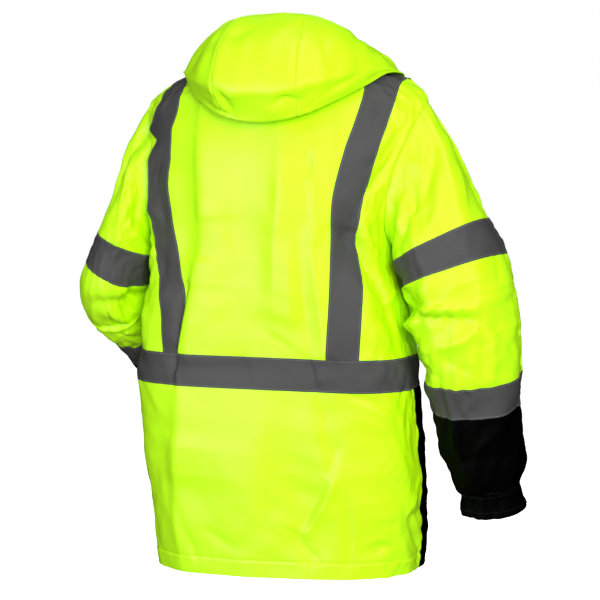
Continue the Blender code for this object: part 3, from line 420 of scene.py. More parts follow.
def half_width(level, side):
    """Half width of the body's ring, on one side."""
    return curve(BODY, level)[..., 1 if side == LEFT else 2]


def theta_at(level, x, side):
    """The ring angle of the points that lie x from the centre line."""
    square = curve(BODY, level)[..., 6]
    across = np.clip(x / half_width(level, side), 0.0, 1.0)
    return np.arctan2(across, (1 - across**square) ** (1 / square))


def tape_edges(level, side):
    """x of a vertical tape's two edges, narrowed where the cloth turns sideways."""
    middle = curve(TAPE_TRACK, level)[..., 0 if side == LEFT else 1]
    theta = theta_at(level, np.minimum(middle, 0.96 * half_width(level, side)), side)
    lean = body_normal(level, theta, side, BACK)[..., 0]
    half = TAPE_WIDTH / 2 * np.sqrt(1 - lean * lean)
    return middle - half, middle + half


def level_on_shoulder(edge, side):
    """The level at which a tape's edge (0 inner, 1 outer) reaches the shoulder seam."""
    low, high = SHOULDER_LEVEL, NECK_LEVEL
    for _ in range(40):
        middle = (low + high) / 2
        if half_width(middle, side) > tape_edges(np.array(middle), side)[edge]:
            low = middle
        else:
            high = middle
    return low


def armhole(f, face):
    """(level, theta) of the armhole's edge, f 0 at the armpit and 1 at the shoulder tip."""
    middle, half = (SHOULDER_LEVEL + ARMPIT_LEVEL) / 2, (SHOULDER_LEVEL - ARMPIT_LEVEL) / 2
    width = ARMHOLE_BACK if face == BACK else ARMHOLE_FRONT
    return (middle - half * np.cos(np.pi * f),
            np.radians(90 - width * np.sin(np.pi * f)))


TIGHT = (1.2, 2.4, 4.0)    # grid lines this near a tight mark, on both sides of it


def stops(marks, spacing, tight=()):
    """Positions through the marks about spacing apart, with close ones beside tight marks."""
    found = set()
    for a, b in zip(marks, marks[1:]):
        count = max(int(round((b - a) / spacing)), 1)
        found |= set(np.round(np.linspace(a, b, count + 1), 4))
    for mark in tight:
        near = [mark + sign * d for sign in (-1, 1) for d in TIGHT]
        found |= {v for v in near if marks[0] < v < marks[-1]}
    ordered = sorted(found)
    return np.array([v for v, after in zip(ordered, ordered[1:] + [math.inf])
                     if after - v > 0.4 or v in marks])


def nearest(values, value):
    """Index of the grid line that is nearest to a place."""
    return int(np.argmin(np.abs(values - value)))


TAPE_LOW, TAPE_HIGH = WAIST_TAPE_LEVEL - TAPE_WIDTH / 2, WAIST_TAPE_LEVEL + TAPE_WIDTH / 2
HEM_LINE = HEM_HEIGHT - 2.0
LOW_LEVELS = stops((0, HEM_HEIGHT, TAPE_LOW, WAIST_TAPE_LEVEL, TAPE_HIGH, ARMPIT_LEVEL), SPACING,
                   (0, HEM_LINE, TAPE_LOW, TAPE_HIGH))
HALF_RING = RING // 2      # rows from the armpit to the shoulder, one for each point of a sleeve
UP_STEPS = np.concatenate([np.arange(1, HALF_RING) / HALF_RING,
                           [1 - 0.4 / HALF_RING, 1 - 0.15 / HALF_RING, 1.0]])
# Where the columns lie between two guide lines: evenly, closer at a tape's edges, and closer
# at the side seam.
EVEN = np.arange(1, 19) / 18
ON_TAPE = np.array([0.025, 0.05, 0.09, 0.15, 0.22, 0.3, 0.4, 0.5, 0.6, 0.7, 0.78, 0.85, 0.91,
                    0.95, 0.975, 1])
TO_SIDE = np.array([i / 26 for i in range(1, 25)] + [0.95, 0.97, 0.985, 0.994, 1.0])
COLUMN_SPANS = (EVEN, EVEN, ON_TAPE, TO_SIDE)


def guide_lines(side, face):
    """(level, theta) of the five guide lines for each row: centre, neck, tape's inner and
    outer edge, side."""
    centre_x = 0.0 if face == BACK else ZIP_OPENING_HALF
    inner, outer = tape_edges(LOW_LEVELS, side)
    low = [(LOW_LEVELS, theta_at(LOW_LEVELS, x, side))
           for x in (centre_x, inner / 2, inner, outer)]
    low.append((LOW_LEVELS, np.full(len(LOW_LEVELS), np.pi / 2)))
    f = UP_STEPS
    g = 0.65 * f + 0.35 * (1 - np.cos(np.pi * f)) / 2
    neck_low = tape_edges(np.array(ARMPIT_LEVEL), side)[0] / 2
    levels = [ARMPIT_LEVEL + (top - ARMPIT_LEVEL) * g for top in
              (NECK_LEVEL, NECK_LEVEL, level_on_shoulder(0, side), level_on_shoulder(1, side))]
    reach = [centre_x, neck_low + (NECK_HALF_WIDTH - neck_low) * g,
             tape_edges(levels[2], side)[0], tape_edges(levels[3], side)[1]]
    high = [(level, theta_at(level, x, side)) for level, x in zip(levels, reach)]
    for _, theta in high[1:]:
        theta[-1] = np.pi / 2
    high.append(armhole(f, face))
    return np.concatenate([np.array(low), np.array(high)], 2).transpose(2, 0, 1)


Grid = namedtuple("Grid", "points normals along turn")


def half_panel(side, face):
    """One side of the body's back or front, from the hem up and from the centre line out."""
    lines = guide_lines(side, face)
    spots = [lines[:, :1]]
    for k, fractions in enumerate(COLUMN_SPANS):
        a, b = lines[:, k:k + 1], lines[:, k + 1:k + 2]
        spots.append(a + (b - a) * fractions[None, :, None])
    level, theta = np.moveaxis(np.concatenate(spots, 1), -1, 0)
    points, normals = body(level, theta, side, face)
    return Grid(points, normals, level, body_turn(theta, side, face))


# ---------------------------------------------------------------- work on grids
def grid_normals(grid, closed, sign=1):
    """Normals of a grid of points; closed ones run all round."""
    if closed:
        across = np.roll(grid, -1, 1) - np.roll(grid, 1, 1)
    else:
        across = np.gradient(grid, axis=1)
    return unit(np.cross(across, np.gradient(grid, axis=0))) * sign


def facing(normals, reference):
    """The normals, all turned to the reference's side."""
    return normals * np.where((normals * reference).sum(-1, keepdims=True) < 0, -1.0, 1.0)


def cut(grid, rows=slice(None), columns=slice(None)):
    """A stretch of the grid."""
    return Grid(*(part[rows, columns] for part in grid))


def joined(first, second):
    """Two halves side by side; the second one's first column repeats the first one's last."""
    return Grid(*(np.concatenate([a, b[:, 1:]], 1) for a, b in zip(first, second)))


def mirrored(grid):
    return Grid(*(part[:, ::-1] for part in grid))


def from_edge(points, edge):
    """Distance of each point from an edge of the grid, along the grid's lines."""
    turned = points if "row" in edge else points.transpose(1, 0, 2)
    backwards = slice(None, None, -1 if "last" in edge else 1)
    steps = np.linalg.norm(np.diff(turned[backwards], axis=0), axis=-1)
    away = np.concatenate([np.zeros((1, steps.shape[1])), np.cumsum(steps, 0)])[backwards]
    return away if "row" in edge else away.T


def along_edge(points, edge):
    """Length along an edge, for each point by the grid line that it lies on."""
    other = "first_column" if "row" in edge else "first_row"
    return from_edge(points, other)


def pucker(s, seed):
    """Uneven small waves along a sewn line."""
    draw = np.random.default_rng(seed)
    a, b, c = draw.uniform(0, 6.28, 3)
    return (np.sin(s / 2.6 + 1.4 * np.sin(s / 17 + a)) * (0.6 + 0.4 * np.sin(s / 29 + b))
            + 0.6 * np.sin(s / 4.9 + 1.1 * np.sin(s / 23 + c)))


# An edge rolls in by roll over its last reach millimetres; the pucker is wave high and fades
# over decay.
Sewn = namedtuple("Sewn", "edge roll reach wave decay", defaults=(0.9, 5.0, 0.28, 9.0))


def sewn_edges(grid, edges, seed):
    """The grid with its seam edges rolled in and slightly puckered."""
    push = np.zeros(grid.points.shape[:2])
    for n, sewn in enumerate(edges):
        away = from_edge(grid.points, sewn.edge)
        push -= sewn.roll * np.clip(1 - away / sewn.reach, 0, 1) ** 2
        wave = pucker(along_edge(grid.points, sewn.edge), seed + n)
        push += sewn.wave * wave * np.exp(-away / sewn.decay)
    points = grid.points + push[..., None] * grid.normals
    return grid._replace(points=points, normals=facing(grid_normals(points, False), grid.normals))


def drawn_in(grid, edges, distance=SEAM_INSET):
    """The grid with the named edges moved inwards a little, clear of its neighbours."""
    points = grid.points.copy()
    for edge in edges:
        lines = points if "row" in edge else points.transpose(1, 0, 2)
        here, there = (0, 1) if "first" in edge else (-1, -2)
        lines[here] += unit(lines[there] - lines[here]) * distance
    return grid._replace(points=points)


# ---------------------------------------------------------------- meshes
SHARP_ANGLE = math.radians(58)


def make_mesh(name, points, quads, uv=None):
    """An object of four-cornered faces, from millimetres to metres."""
    mesh = bpy.data.meshes.new(name)
    count = len(quads)
    mesh.vertices.add(len(points))
    mesh.vertices.foreach_set("co", (np.asarray(points) / MM_PER_METRE).astype(np.float32).ravel())
    mesh.loops.add(count * 4)
    mesh.loops.foreach_set("vertex_index", quads.astype(np.int32).ravel())
    mesh.polygons.add(count)
    mesh.polygons.foreach_set("loop_start", np.arange(0, count * 4, 4, dtype=np.int32))
    mesh.update(calc_edges=True)
    if uv is not None:
        layer = mesh.uv_layers.new(name="cloth")
        layer.data.foreach_set("uv", (uv[quads.ravel()] / MM_PER_METRE).astype(np.float32).ravel())
    mesh.shade_smooth()
    mesh.set_sharp_from_angle(angle=SHARP_ANGLE)
    obj = bpy.data.objects.new(name, mesh)
    bpy.context.scene.collection.objects.link(obj)
    return obj


def cells(rows, columns, closed):
    """The grid's cells, each by the indices of its four corners."""
    across = np.arange(columns if closed else columns - 1)
    i, j = np.meshgrid(np.arange(rows - 1), across, indexing="ij")
    low, high, after = i * columns, (i + 1) * columns, (j + 1) % columns
    return np.stack([low + j, low + after, high + after, high + j], -1).reshape(-1, 4)


def edge_loops(rows, columns, closed):
    """The grid's outer edge as loops of indices, each with the index one line further in."""
    index = np.arange(rows * columns).reshape(rows, columns)
    if closed:
        return [(index[0], index[1]), (index[-1][::-1], index[-2][::-1])]
    ring = np.concatenate([index[0, :-1], index[:-1, -1], index[-1, :0:-1], index[:0:-1, 0]])
    inner = np.concatenate([index[1, :-1], index[:-1, -2], index[-2, :0:-1], index[:0:-1, 1]])
    inner[0] = index[1, 1]
    inner[columns - 1] = index[1, -2]
    inner[columns + rows - 2] = index[-2, -2]
    inner[2 * columns + rows - 3] = index[-2, 1]
    return [(ring, inner)]


def surface_uv(points, closed):
    """Lengths across and along the cloth, in millimetres."""
    across = np.linalg.norm(np.diff(points, axis=1), axis=-1).mean(0)
    u = np.concatenate([[0], np.cumsum(across)])
    v = from_edge(points, "first_row")
    return np.stack([np.broadcast_to(u, v.shape) - u.mean(), v], -1)


def shell(name, outer, inner, closed, material):
    """A sheet with two faces and a rounded rim between two grids of points."""
    rows, columns = outer.shape[:2]
    count = rows * columns
    quads = cells(rows, columns, closed)
    flat_outer, flat_inner = outer.reshape(-1, 3), inner.reshape(-1, 3)
    middle = quads[len(quads) // 2]
    a, b, _, d = flat_outer[middle]
    outwards = np.dot(np.cross(b - a, d - a), (flat_outer - flat_inner)[middle[0]]) >= 0
    if not outwards:
        quads = quads[:, ::-1]
    points, faces = [flat_outer, flat_inner], [quads, quads[:, ::-1] + count]
    uv = surface_uv(outer, closed).reshape(-1, 2)
    uvs, total = [uv, uv], 2 * count
    half = np.linalg.norm(flat_outer - flat_inner, axis=1).mean() / 2
    for ring, further in edge_loops(rows, columns, closed):
        leave = unit(flat_outer[ring] - flat_outer[further])
        points.append((flat_outer[ring] + flat_inner[ring]) / 2 + leave * half)
        uvs.append(uv[ring])
        here = np.arange(len(ring)) + total
        after, far = np.roll(here, -1), np.roll(ring, -1)
        strips = [np.stack([ring, far, after, here], 1),
                  np.stack([here, after, far + count, ring + count], 1)]
        faces += [strip[:, ::-1] if outwards else strip for strip in strips]
        total += len(ring)
    obj = make_mesh(name, np.concatenate(points), np.concatenate(faces), np.concatenate(uvs))
    obj.data.materials.append(material)
    return obj


def bars(rings, ends=()):
    """Points and faces of many bars, each a tube through its own rings of points. ends are
    the faces that close the first bar."""
    points = np.stack(rings, 1)
    count, sections, sides = points.shape[:3]
    k = np.arange(sides)
    after = (k + 1) % sides
    tube = [np.stack([k, after, after + sides, k + sides], 1) + n * sides
            for n in range(sections - 1)]
    one = np.concatenate(tube + list(ends))
    first = np.arange(count) * sections * sides
    return points.reshape(-1, 3), (one[None] + first[:, None, None]).reshape(-1, 4)


def cloth_area(points, closed):
    """Area in square metres."""
    rows, columns = points.shape[:2]
    a, b, c, d = points.reshape(-1, 3)[cells(rows, columns, closed)].transpose(1, 0, 2)
    return np.linalg.norm(np.cross(c - a, d - b), axis=1).sum() / 2 / MM_PER_METRE**2


def flat_size(points, closed):
    """Width and length of the cut: the widest row and the longest column."""
    ring = np.concatenate([points, points[:, :1]], 1) if closed else points
    width = np.linalg.norm(np.diff(ring, axis=1), axis=-1).sum(1).max()
    length = np.linalg.norm(np.diff(points, axis=0), axis=-1).sum(0).max()
    return width / MM_PER_METRE, length / MM_PER_METRE


def add_piece(name, node, outer, inner, measured, looks, slot, closed):
    """A cut piece in place of a CAD node, between two faces. The measured grid's flat size is
    worked out but not kept."""
    piece = shell(name, outer, inner, closed, looks[slot])
    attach(piece, "garment")
    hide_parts(node)
    width, length = flat_size(measured, closed)
    round(min(cloth_area(measured, closed), width * length), 5)


def add_sheet(node, grid, looks, slot, closed=False, thick=CLOTH):
    """A panel of cloth with its outside on the grid."""
    add_piece(f"{node}_cloth", node, grid.points, grid.points - thick * grid.normals, grid.points,
              looks, slot, closed)


def add_tape(node, grid, looks, closed=False):
    """A reflective tape that lies on the grid."""
    low = grid.points + LAYER_GAP * grid.normals
    add_piece(f"{node}_sewn", node, low + TAPE * grid.normals, low, low,
              looks, "reflective_tape", closed)


# ---------------------------------------------------------------- materials
THREAD_DEPTH, CRINKLE_DEPTH = 0.0001, 0.0009       # metres, of the cloths' bumps


def material_nodes(name):
    material = bpy.data.materials.new(name)
    material.use_nodes = True
    return material, material.node_tree, material.node_tree.nodes["Principled BSDF"]


def plug(tree, node, inputs):
    """Sets a node's inputs to values or links them to other nodes' outputs."""
    for key, value in inputs.items():
        if hasattr(value, "is_output"):
            tree.links.new(value, node.inputs[key])
        else:
            node.inputs[key].default_value = value


def add_node(tree, kind, inputs=None, **settings):
    node = tree.nodes.new(kind)
    for key, value in settings.items():
        setattr(node, key, value)
    plug(tree, node, inputs or {})
    return node


def maths(tree, operation, a, b=0.0):
    return add_node(tree, "ShaderNodeMath", {0: a, 1: b}, operation=operation).outputs[0]


def cloth_place(tree):
    """Lengths across and along the cloth, in metres."""
    return add_node(tree, "ShaderNodeUVMap", uv_map="cloth").outputs[0]


def weave_height(tree, place, pitch):
    """A plain weave: threads over and under."""
    parts = add_node(tree, "ShaderNodeSeparateXYZ", {0: place})
    factor = 2 * math.pi / (pitch / MM_PER_METRE)
    waves = [maths(tree, "SINE", maths(tree, "MULTIPLY", parts.outputs[k], factor))
             for k in (0, 1)]
    return maths(tree, "MULTIPLY", waves[0], waves[1])


def noise(tree, place, scale, detail=3.0, rough=0.5):
    return add_node(tree, "ShaderNodeTexNoise", {"Vector": place, "Scale": scale, "Detail": detail,
                                                 "Roughness": rough}).outputs["Fac"]


def bump(tree, height, strength, distance, on=None):
    """A normal for the shader; on is the normal of the coarser bumps below."""
    inputs = {"Height": height, "Strength": strength, "Distance": distance}
    if on is not None:
        inputs["Normal"] = on
    return add_node(tree, "ShaderNodeBump", inputs).outputs[0]


def colour_between(tree, fac, low, high):
    return add_node(tree, "ShaderNodeMix", {0: fac, 6: (*low, 1), 7: (*high, 1)},
                    data_type="RGBA").outputs[2]


def value_between(tree, fac, low, high):
    return add_node(tree, "ShaderNodeMapRange", {0: fac, 3: low, 4: high}).outputs[0]


def cloth_material(name, low, high, roughness, pitch, weave, crinkle, sheen, specular):
    """Coated woven cloth between two colours. pitch is its weave's, in millimetres; weave and
    crinkle are how much its threads and its smallest creases show."""
    material, tree, shader = material_nodes(name)
    place = cloth_place(tree)
    patches = noise(tree, place, 9.0, 4.0)
    fine = noise(tree, place, 260.0, 2.0)
    shade = maths(tree, "ADD", maths(tree, "MULTIPLY", patches, 0.75),
                  maths(tree, "MULTIPLY", fine, 0.25))
    threads = bump(tree, weave_height(tree, place, pitch), weave, THREAD_DEPTH)
    small = noise(tree, place, 95.0, 5.0, 0.6)
    plug(tree, shader, {
        "Base Color": colour_between(tree, shade, low, high),
        "Roughness": value_between(tree, patches, roughness - 0.06, roughness + 0.06),
        "Normal": bump(tree, small, crinkle, CRINKLE_DEPTH, threads),
        "Sheen Weight": sheen, "Sheen Roughness": 0.4, "Specular IOR Level": specular})
    return material


def tape_material():
    """Grey tape with a layer of tiny glass beads, sewn flat."""
    material, tree, shader = material_nodes("reflective_tape")
    place = cloth_place(tree)
    patches = noise(tree, place, 14.0, 3.0)
    beads = add_node(tree, "ShaderNodeTexVoronoi", {"Vector": place, "Scale": 3200.0})
    small = bump(tree, beads.outputs["Distance"], 0.12, 0.0001)
    plug(tree, shader, {
        "Base Color": colour_between(tree, patches, (0.034, 0.034, 0.034), (0.043, 0.043, 0.043)),
        "Roughness": value_between(tree, patches, 0.42, 0.58),
        "Normal": bump(tree, noise(tree, place, 60.0, 4.0), 0.3, 0.0008, small),
        "Specular IOR Level": 0.2})
    return material


def plain_material(name, colour, roughness, metallic=0.0, grain=0.0):
    """Thread, coil or lacquered metal."""
    material, tree, shader = material_nodes(name)
    place = add_node(tree, "ShaderNodeTexCoord").outputs["Object"]
    fac = noise(tree, place, 900.0, 3.0)
    dark = tuple(c * 0.8 for c in colour)
    plug(tree, shader, {"Base Color": colour_between(tree, fac, dark, colour),
                        "Roughness": roughness, "Metallic": metallic})
    if grain:
        plug(tree, shader, {"Normal": bump(tree, fac, grain, 0.0002)})
    return material


def make_materials():
    return {
        "yellow_cloth": cloth_material(
            "yellow_cloth", (0.330, 0.65, 0.0005), (0.362, 0.70, 0.0012),
            roughness=0.4, pitch=0.9, weave=0.25, crinkle=0.35, sheen=0.0, specular=0.5),
        "black_cloth": cloth_material(
            "black_cloth", (0.0003, 0.0003, 0.0003), (0.0007, 0.0007, 0.0007),
            roughness=0.6, pitch=0.9, weave=0.3, crinkle=0.35, sheen=0.0, specular=0.05),
        "reflective_tape": tape_material(),
        "zip_tape": cloth_material(
            "zip_tape", (0.004, 0.004, 0.004), (0.007, 0.007, 0.007),
            roughness=0.7, pitch=1.2, weave=0.5, crinkle=0.1, sheen=0.05, specular=0.2),
        "yellow_thread": plain_material("yellow_thread", (0.46, 0.80, 0.02), 0.6, grain=0.4),
        "grey_thread": plain_material("grey_thread", (0.16, 0.16, 0.155), 0.6, grain=0.4),
        "black_thread": plain_material("black_thread", (0.012, 0.012, 0.012), 0.6, grain=0.4),
        "zip_teeth": plain_material("zip_teeth", (0.012, 0.012, 0.013), 0.35),
        "dark_metal": plain_material("dark_metal", (0.06, 0.06, 0.065), 0.32, 0.9, 0.15),
    }


# ---------------------------------------------------------------- sewing
STITCH_LENGTH, STITCH_GAP, THREAD = 3.0, 1.1, 0.3
STITCH_SIDES = 5
# Along a stitch: how far, its height and its radius, the last two in radii of the thread.
STITCH_SECTIONS = ((0.0, -0.25, 0.55), (0.22, 0.55, 1.0), (0.78, 0.55, 1.0), (1.0, -0.25, 0.55))
TAPE_STITCH = 2.2          # from a tape's edge


def lengths(path):
    """Length along a path to each of its points."""
    return np.concatenate([[0], np.cumsum(np.linalg.norm(np.diff(path, axis=0), axis=1))])


def sampled(values, at, where):
    """Vectors that are known at some lengths, at other lengths."""
    return np.stack([np.interp(where, at, values[:, k]) for k in range(3)], -1)


def line_at(grid, edge, distance, lift=0.0, span=slice(None)):
    """Points and normals on the grid at a distance from one of its edges."""
    away, points, normals = from_edge(grid.points, edge), grid.points, grid.normals
    if "column" in edge:
        away, points, normals = away.T, points.transpose(1, 0, 2), normals.transpose(1, 0, 2)
    if "last" in edge:
        away, points, normals = away[::-1], points[::-1], normals[::-1]
    columns = range(away.shape[1])[span]
    path = np.array([sampled(points[:, j], away[:, j], distance) for j in columns])
    ups = unit(np.array([sampled(normals[:, j], away[:, j], distance) for j in columns]))
    return path + ups * lift, ups


class Sewing:
    """Collects the stitches of one thread and makes them one piece."""

    def __init__(self, name, material):
        self.name, self.material = name, material
        self.points, self.faces, self.count = [], [], 0

    def row(self, path, normals, closed=False):
        """Stitches along a path."""
        if closed:
            path, normals = (np.concatenate([v, v[:1]]) for v in (path, normals))
        at = lengths(path)
        count = int(at[-1] // (STITCH_LENGTH + STITCH_GAP))
        if count < 1:
            return
        starts = (np.arange(count) + 0.5) * at[-1] / count - STITCH_LENGTH / 2
        centres, ups = [], []
        for share, lift, _ in STITCH_SECTIONS:
            where = starts + share * STITCH_LENGTH
            ups.append(unit(sampled(normals, at, where)))
            centres.append(sampled(path, at, where) + ups[-1] * lift * THREAD)
        ahead = unit(centres[-1] - centres[0])
        angles = 2 * np.pi * np.arange(STITCH_SIDES) / STITCH_SIDES
        c, s = np.cos(angles)[:, None], np.sin(angles)[:, None]
        rings = []
        for centre, up, (_, _, size) in zip(centres, ups, STITCH_SECTIONS):
            beside = unit(np.cross(ahead, up))
            rings.append(centre[:, None] + THREAD * size * (c * beside[:, None] + s * up[:, None]))
        points, faces = bars(rings)
        self.points.append(points)
        self.faces.append(faces + self.count)
        self.count += len(points)

    def beside(self, grid, edge, distance, lift=0.0, span=slice(None), closed=False):
        """Stitches on the cloth at a distance from one of its edges."""
        self.row(*line_at(grid, edge, distance, lift, span), closed)

    def finish(self):
        """Makes the piece."""
        obj = make_mesh(self.name, np.concatenate(self.points),
                        np.concatenate(self.faces)[:, ::-1])
        obj.data.materials.append(self.material)
        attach(obj, "garment")


def sew_tape(thread, grid, edges, closed=False):
    """Stitches along a tape's edges, on its surface."""
    for edge in edges:
        thread.beside(grid, edge, TAPE_STITCH, LAYER_GAP + TAPE, closed=closed)


# ---------------------------------------------------------------- the sleeves
def arm_frame(table, along, side):
    """The sleeve's middle there, its directions out, back and down, and the table's row."""
    row = curve(table, np.array(float(along)))
    sign = np.array([side, 1, 1])
    below, above = (curve(table, np.array(along + d))[:3] for d in (6.0, -6.0))
    down = unit((below - above) * sign)
    out = unit(np.array([side, 0, 0]) - down * down[0] * side)
    return row[:3] * sign, out, side * np.cross(out, down), down, row


def arm_section(table, along, side):
    """Points round the sleeve, from its outer side by the back."""
    centre, out, back, _, row = arm_frame(table, along, side)
    outer, inner, behind, fore, square, turn = row[3:]
    lean = math.radians(turn)
    major = out * math.cos(lean) - back * math.sin(lean)
    minor = back * math.cos(lean) + out * math.sin(lean)
    angle = 2 * np.pi * np.arange(RING) / RING + lean
    c, s = np.cos(angle), np.sin(angle)
    reach = (np.abs(c) ** square + np.abs(s) ** square) ** (-1 / square)
    across = reach * np.where(c > 0, outer, inner) * c
    deep = reach * np.where(s > 0, behind, fore) * s
    return centre + across[:, None] * major + deep[:, None] * minor


def armhole_ring(side):
    """Points round the armhole: shoulder tip, back, armpit, front."""
    f = 1 - np.arange(HALF_RING + 1) / HALF_RING
    back = body(*armhole(f, BACK), side, BACK)
    front = body(*armhole(f[::-1][1:-1], FRONT), side, FRONT)
    return np.concatenate([back[0], front[0]]), np.concatenate([back[1], front[1]])


COLOUR_SEAM = LOWER_TAPE + TAPE_WIDTH / 2      # yellow above and black below, under the tape
SLEEVE_EDGES = (0, UPPER_TAPE, UPPER_TAPE + TAPE_WIDTH, LOWER_TAPE, LOWER_TAPE + TAPE_WIDTH,
                CUFF_SEAM, SLEEVE_END)
ALONG = stops(sorted(SLEEVE_EDGES + (COLOUR_SEAM,)), SPACING + 0.4, SLEEVE_EDGES)
CROOK_TURN, CROOK_LEVEL, CROOK_REACH = 12.0, 214.0, 26.0    # the left sleeve's, under its tape


def gathers(along, turn):
    """Small gathers where the forearm is sewn to the narrower cuff."""
    near = np.exp(-((along - CUFF_SEAM) / 16.0) ** 2)
    return near * (1.3 * np.sin(np.radians(turn * 17)) + 0.9 * np.sin(np.radians(turn * 29 + 40)))


def sleeve_grid(side):
    """The whole sleeve, from the armhole by the cap and its two tapes to the cuff's end."""
    table, creases = (LEFT_ARM, LEFT_CREASES) if side == LEFT else (RIGHT_ARM, RIGHT_CREASES)
    start, body_normals = armhole_ring(side)
    goal = arm_section(table, UPPER_TAPE, side)
    down = arm_frame(table, UPPER_TAPE, side)[3]
    length = np.linalg.norm(goal - start, axis=1, keepdims=True)
    turn = 360 * np.arange(RING) / RING
    rise = (np.cos(np.radians(turn)) + 1) / 2
    leave = unit(np.stack([np.full(RING, float(side)), 0 * rise, -0.3 - CAP_SLOPE[side] * rise], 1))
    grid = np.array([hermite(along / UPPER_TAPE, start, goal, length * leave, length * down)
                     if along <= UPPER_TAPE else arm_section(table, along, side)
                     for along in ALONG])
    normals = grid_normals(grid, True, -side)
    along, turn = np.broadcast_arrays(ALONG[:, None], turn[None, :])
    push = sum(relief(creases, along, turn + wrap, 1.0, ARM_TURN) for wrap in (-360, 0, 360))
    push = push + gathers(along, turn)
    wide = turn * ARM_TURN * np.abs(np.sin(np.radians(turn / 2)))
    push += crumple(along, wide, 21 + side, (90, 55, 34, 21), 0.028)
    # Less relief where the rows crowd on the inside of a bend, none in the left arm's crook.
    crowded = np.linalg.norm(np.gradient(grid, axis=0), axis=-1) / np.gradient(ALONG)[:, None]
    push *= np.clip(1.6 * crowded - 0.25, 0.1, 1)
    if side == LEFT:
        crook = np.clip(-1.6 * np.sin(np.radians(turn - CROOK_TURN)), 0, 1)
        push *= 1 - crook * np.exp(-((along - CROOK_LEVEL) / CROOK_REACH) ** 4)
    edge = np.clip(along / 40, 0, 1)
    seam = -0.4 * np.clip(1 - along / 5.0, 0, 1) ** 2
    grid = grid + (push * edge + seam)[..., None] * normals
    normals = grid_normals(grid, True, -side)
    normals[0] = unit(unit(normals[0]) + body_normals)
    return Grid(grid, normals, along, turn)


def stretch(grid, low, high):
    """The sleeve from one place along it to another."""
    return cut(grid, slice(nearest(ALONG, low), nearest(ALONG, high) + 1))


def add_sleeve(side, name, looks, sewing):
    grid = sleeve_grid(side)
    upper, lower = f"sleeve_{name}_upper", f"sleeve_{name}_lower"
    for node, low, high, slot, above in (
            (upper, 0, COLOUR_SEAM, "yellow_cloth", "back_panel"),
            (lower, COLOUR_SEAM, CUFF_SEAM, "black_cloth", upper),
            (f"cuff_{name}", CUFF_SEAM, SLEEVE_END, "black_cloth", lower)):
        add_sheet(node, stretch(grid, low, high), looks, slot, True)
    for place, low in (("upper_arm", UPPER_TAPE), ("forearm", LOWER_TAPE)):
        tape = stretch(grid, low, low + TAPE_WIDTH)
        add_tape(f"tape_{place}_{name}", tape, looks, True)
        sew_tape(sewing["grey"], tape, ("first_row", "last_row"), True)
    for along, thread in ((6.0, "yellow"), (CUFF_SEAM - 5, "black"), (CUFF_SEAM + 5, "black"),
                          (SLEEVE_END - 7, "black")):
        row = nearest(ALONG, along)
        sewing[thread].row(grid.points[row], grid.normals[row], True)


# ---------------------------------------------------------------- the body's pieces
def hem_relief(grid):
    """The turned-up hem: a doubled band with a stitched groove and small puckers."""
    above = grid.along - HEM_LINE
    s = grid.turn * BODY_TURN
    push = 0.5 / (1 + np.exp(np.clip(above / 1.2, -30, 30)))
    push = push - 0.9 * np.exp(-(above / 1.8) ** 2)
    push = push + 0.42 * pucker(s, 40) * np.exp(-np.abs(above) / 11.0)
    push = push + 0.8 * np.sin(s / 21 + 1.2 * np.sin(s / 57)) * np.exp(-grid.along / 30.0)
    return grid._replace(points=grid.points + push[..., None] * grid.normals)


def add_waist_tape(node, grid, looks, sewing):
    low, high = nearest(LOW_LEVELS, TAPE_LOW), nearest(LOW_LEVELS, TAPE_HIGH)
    tape = cut(grid, slice(low, high + 1))
    add_tape(node, tape, looks)
    sew_tape(sewing["grey"], tape, ("first_row", "last_row"))


def add_shoulder_tape(node, grid, columns, looks, sewing):
    """A tape from the waist tape to the shoulder, on some of the panel's columns."""
    tape = cut(grid, slice(nearest(LOW_LEVELS, TAPE_HIGH), None), columns)
    add_tape(node, drawn_in(tape, ("first_row",), 2 * SEAM_INSET), looks)
    sew_tape(sewing["grey"], tape, ("first_column", "last_column"))


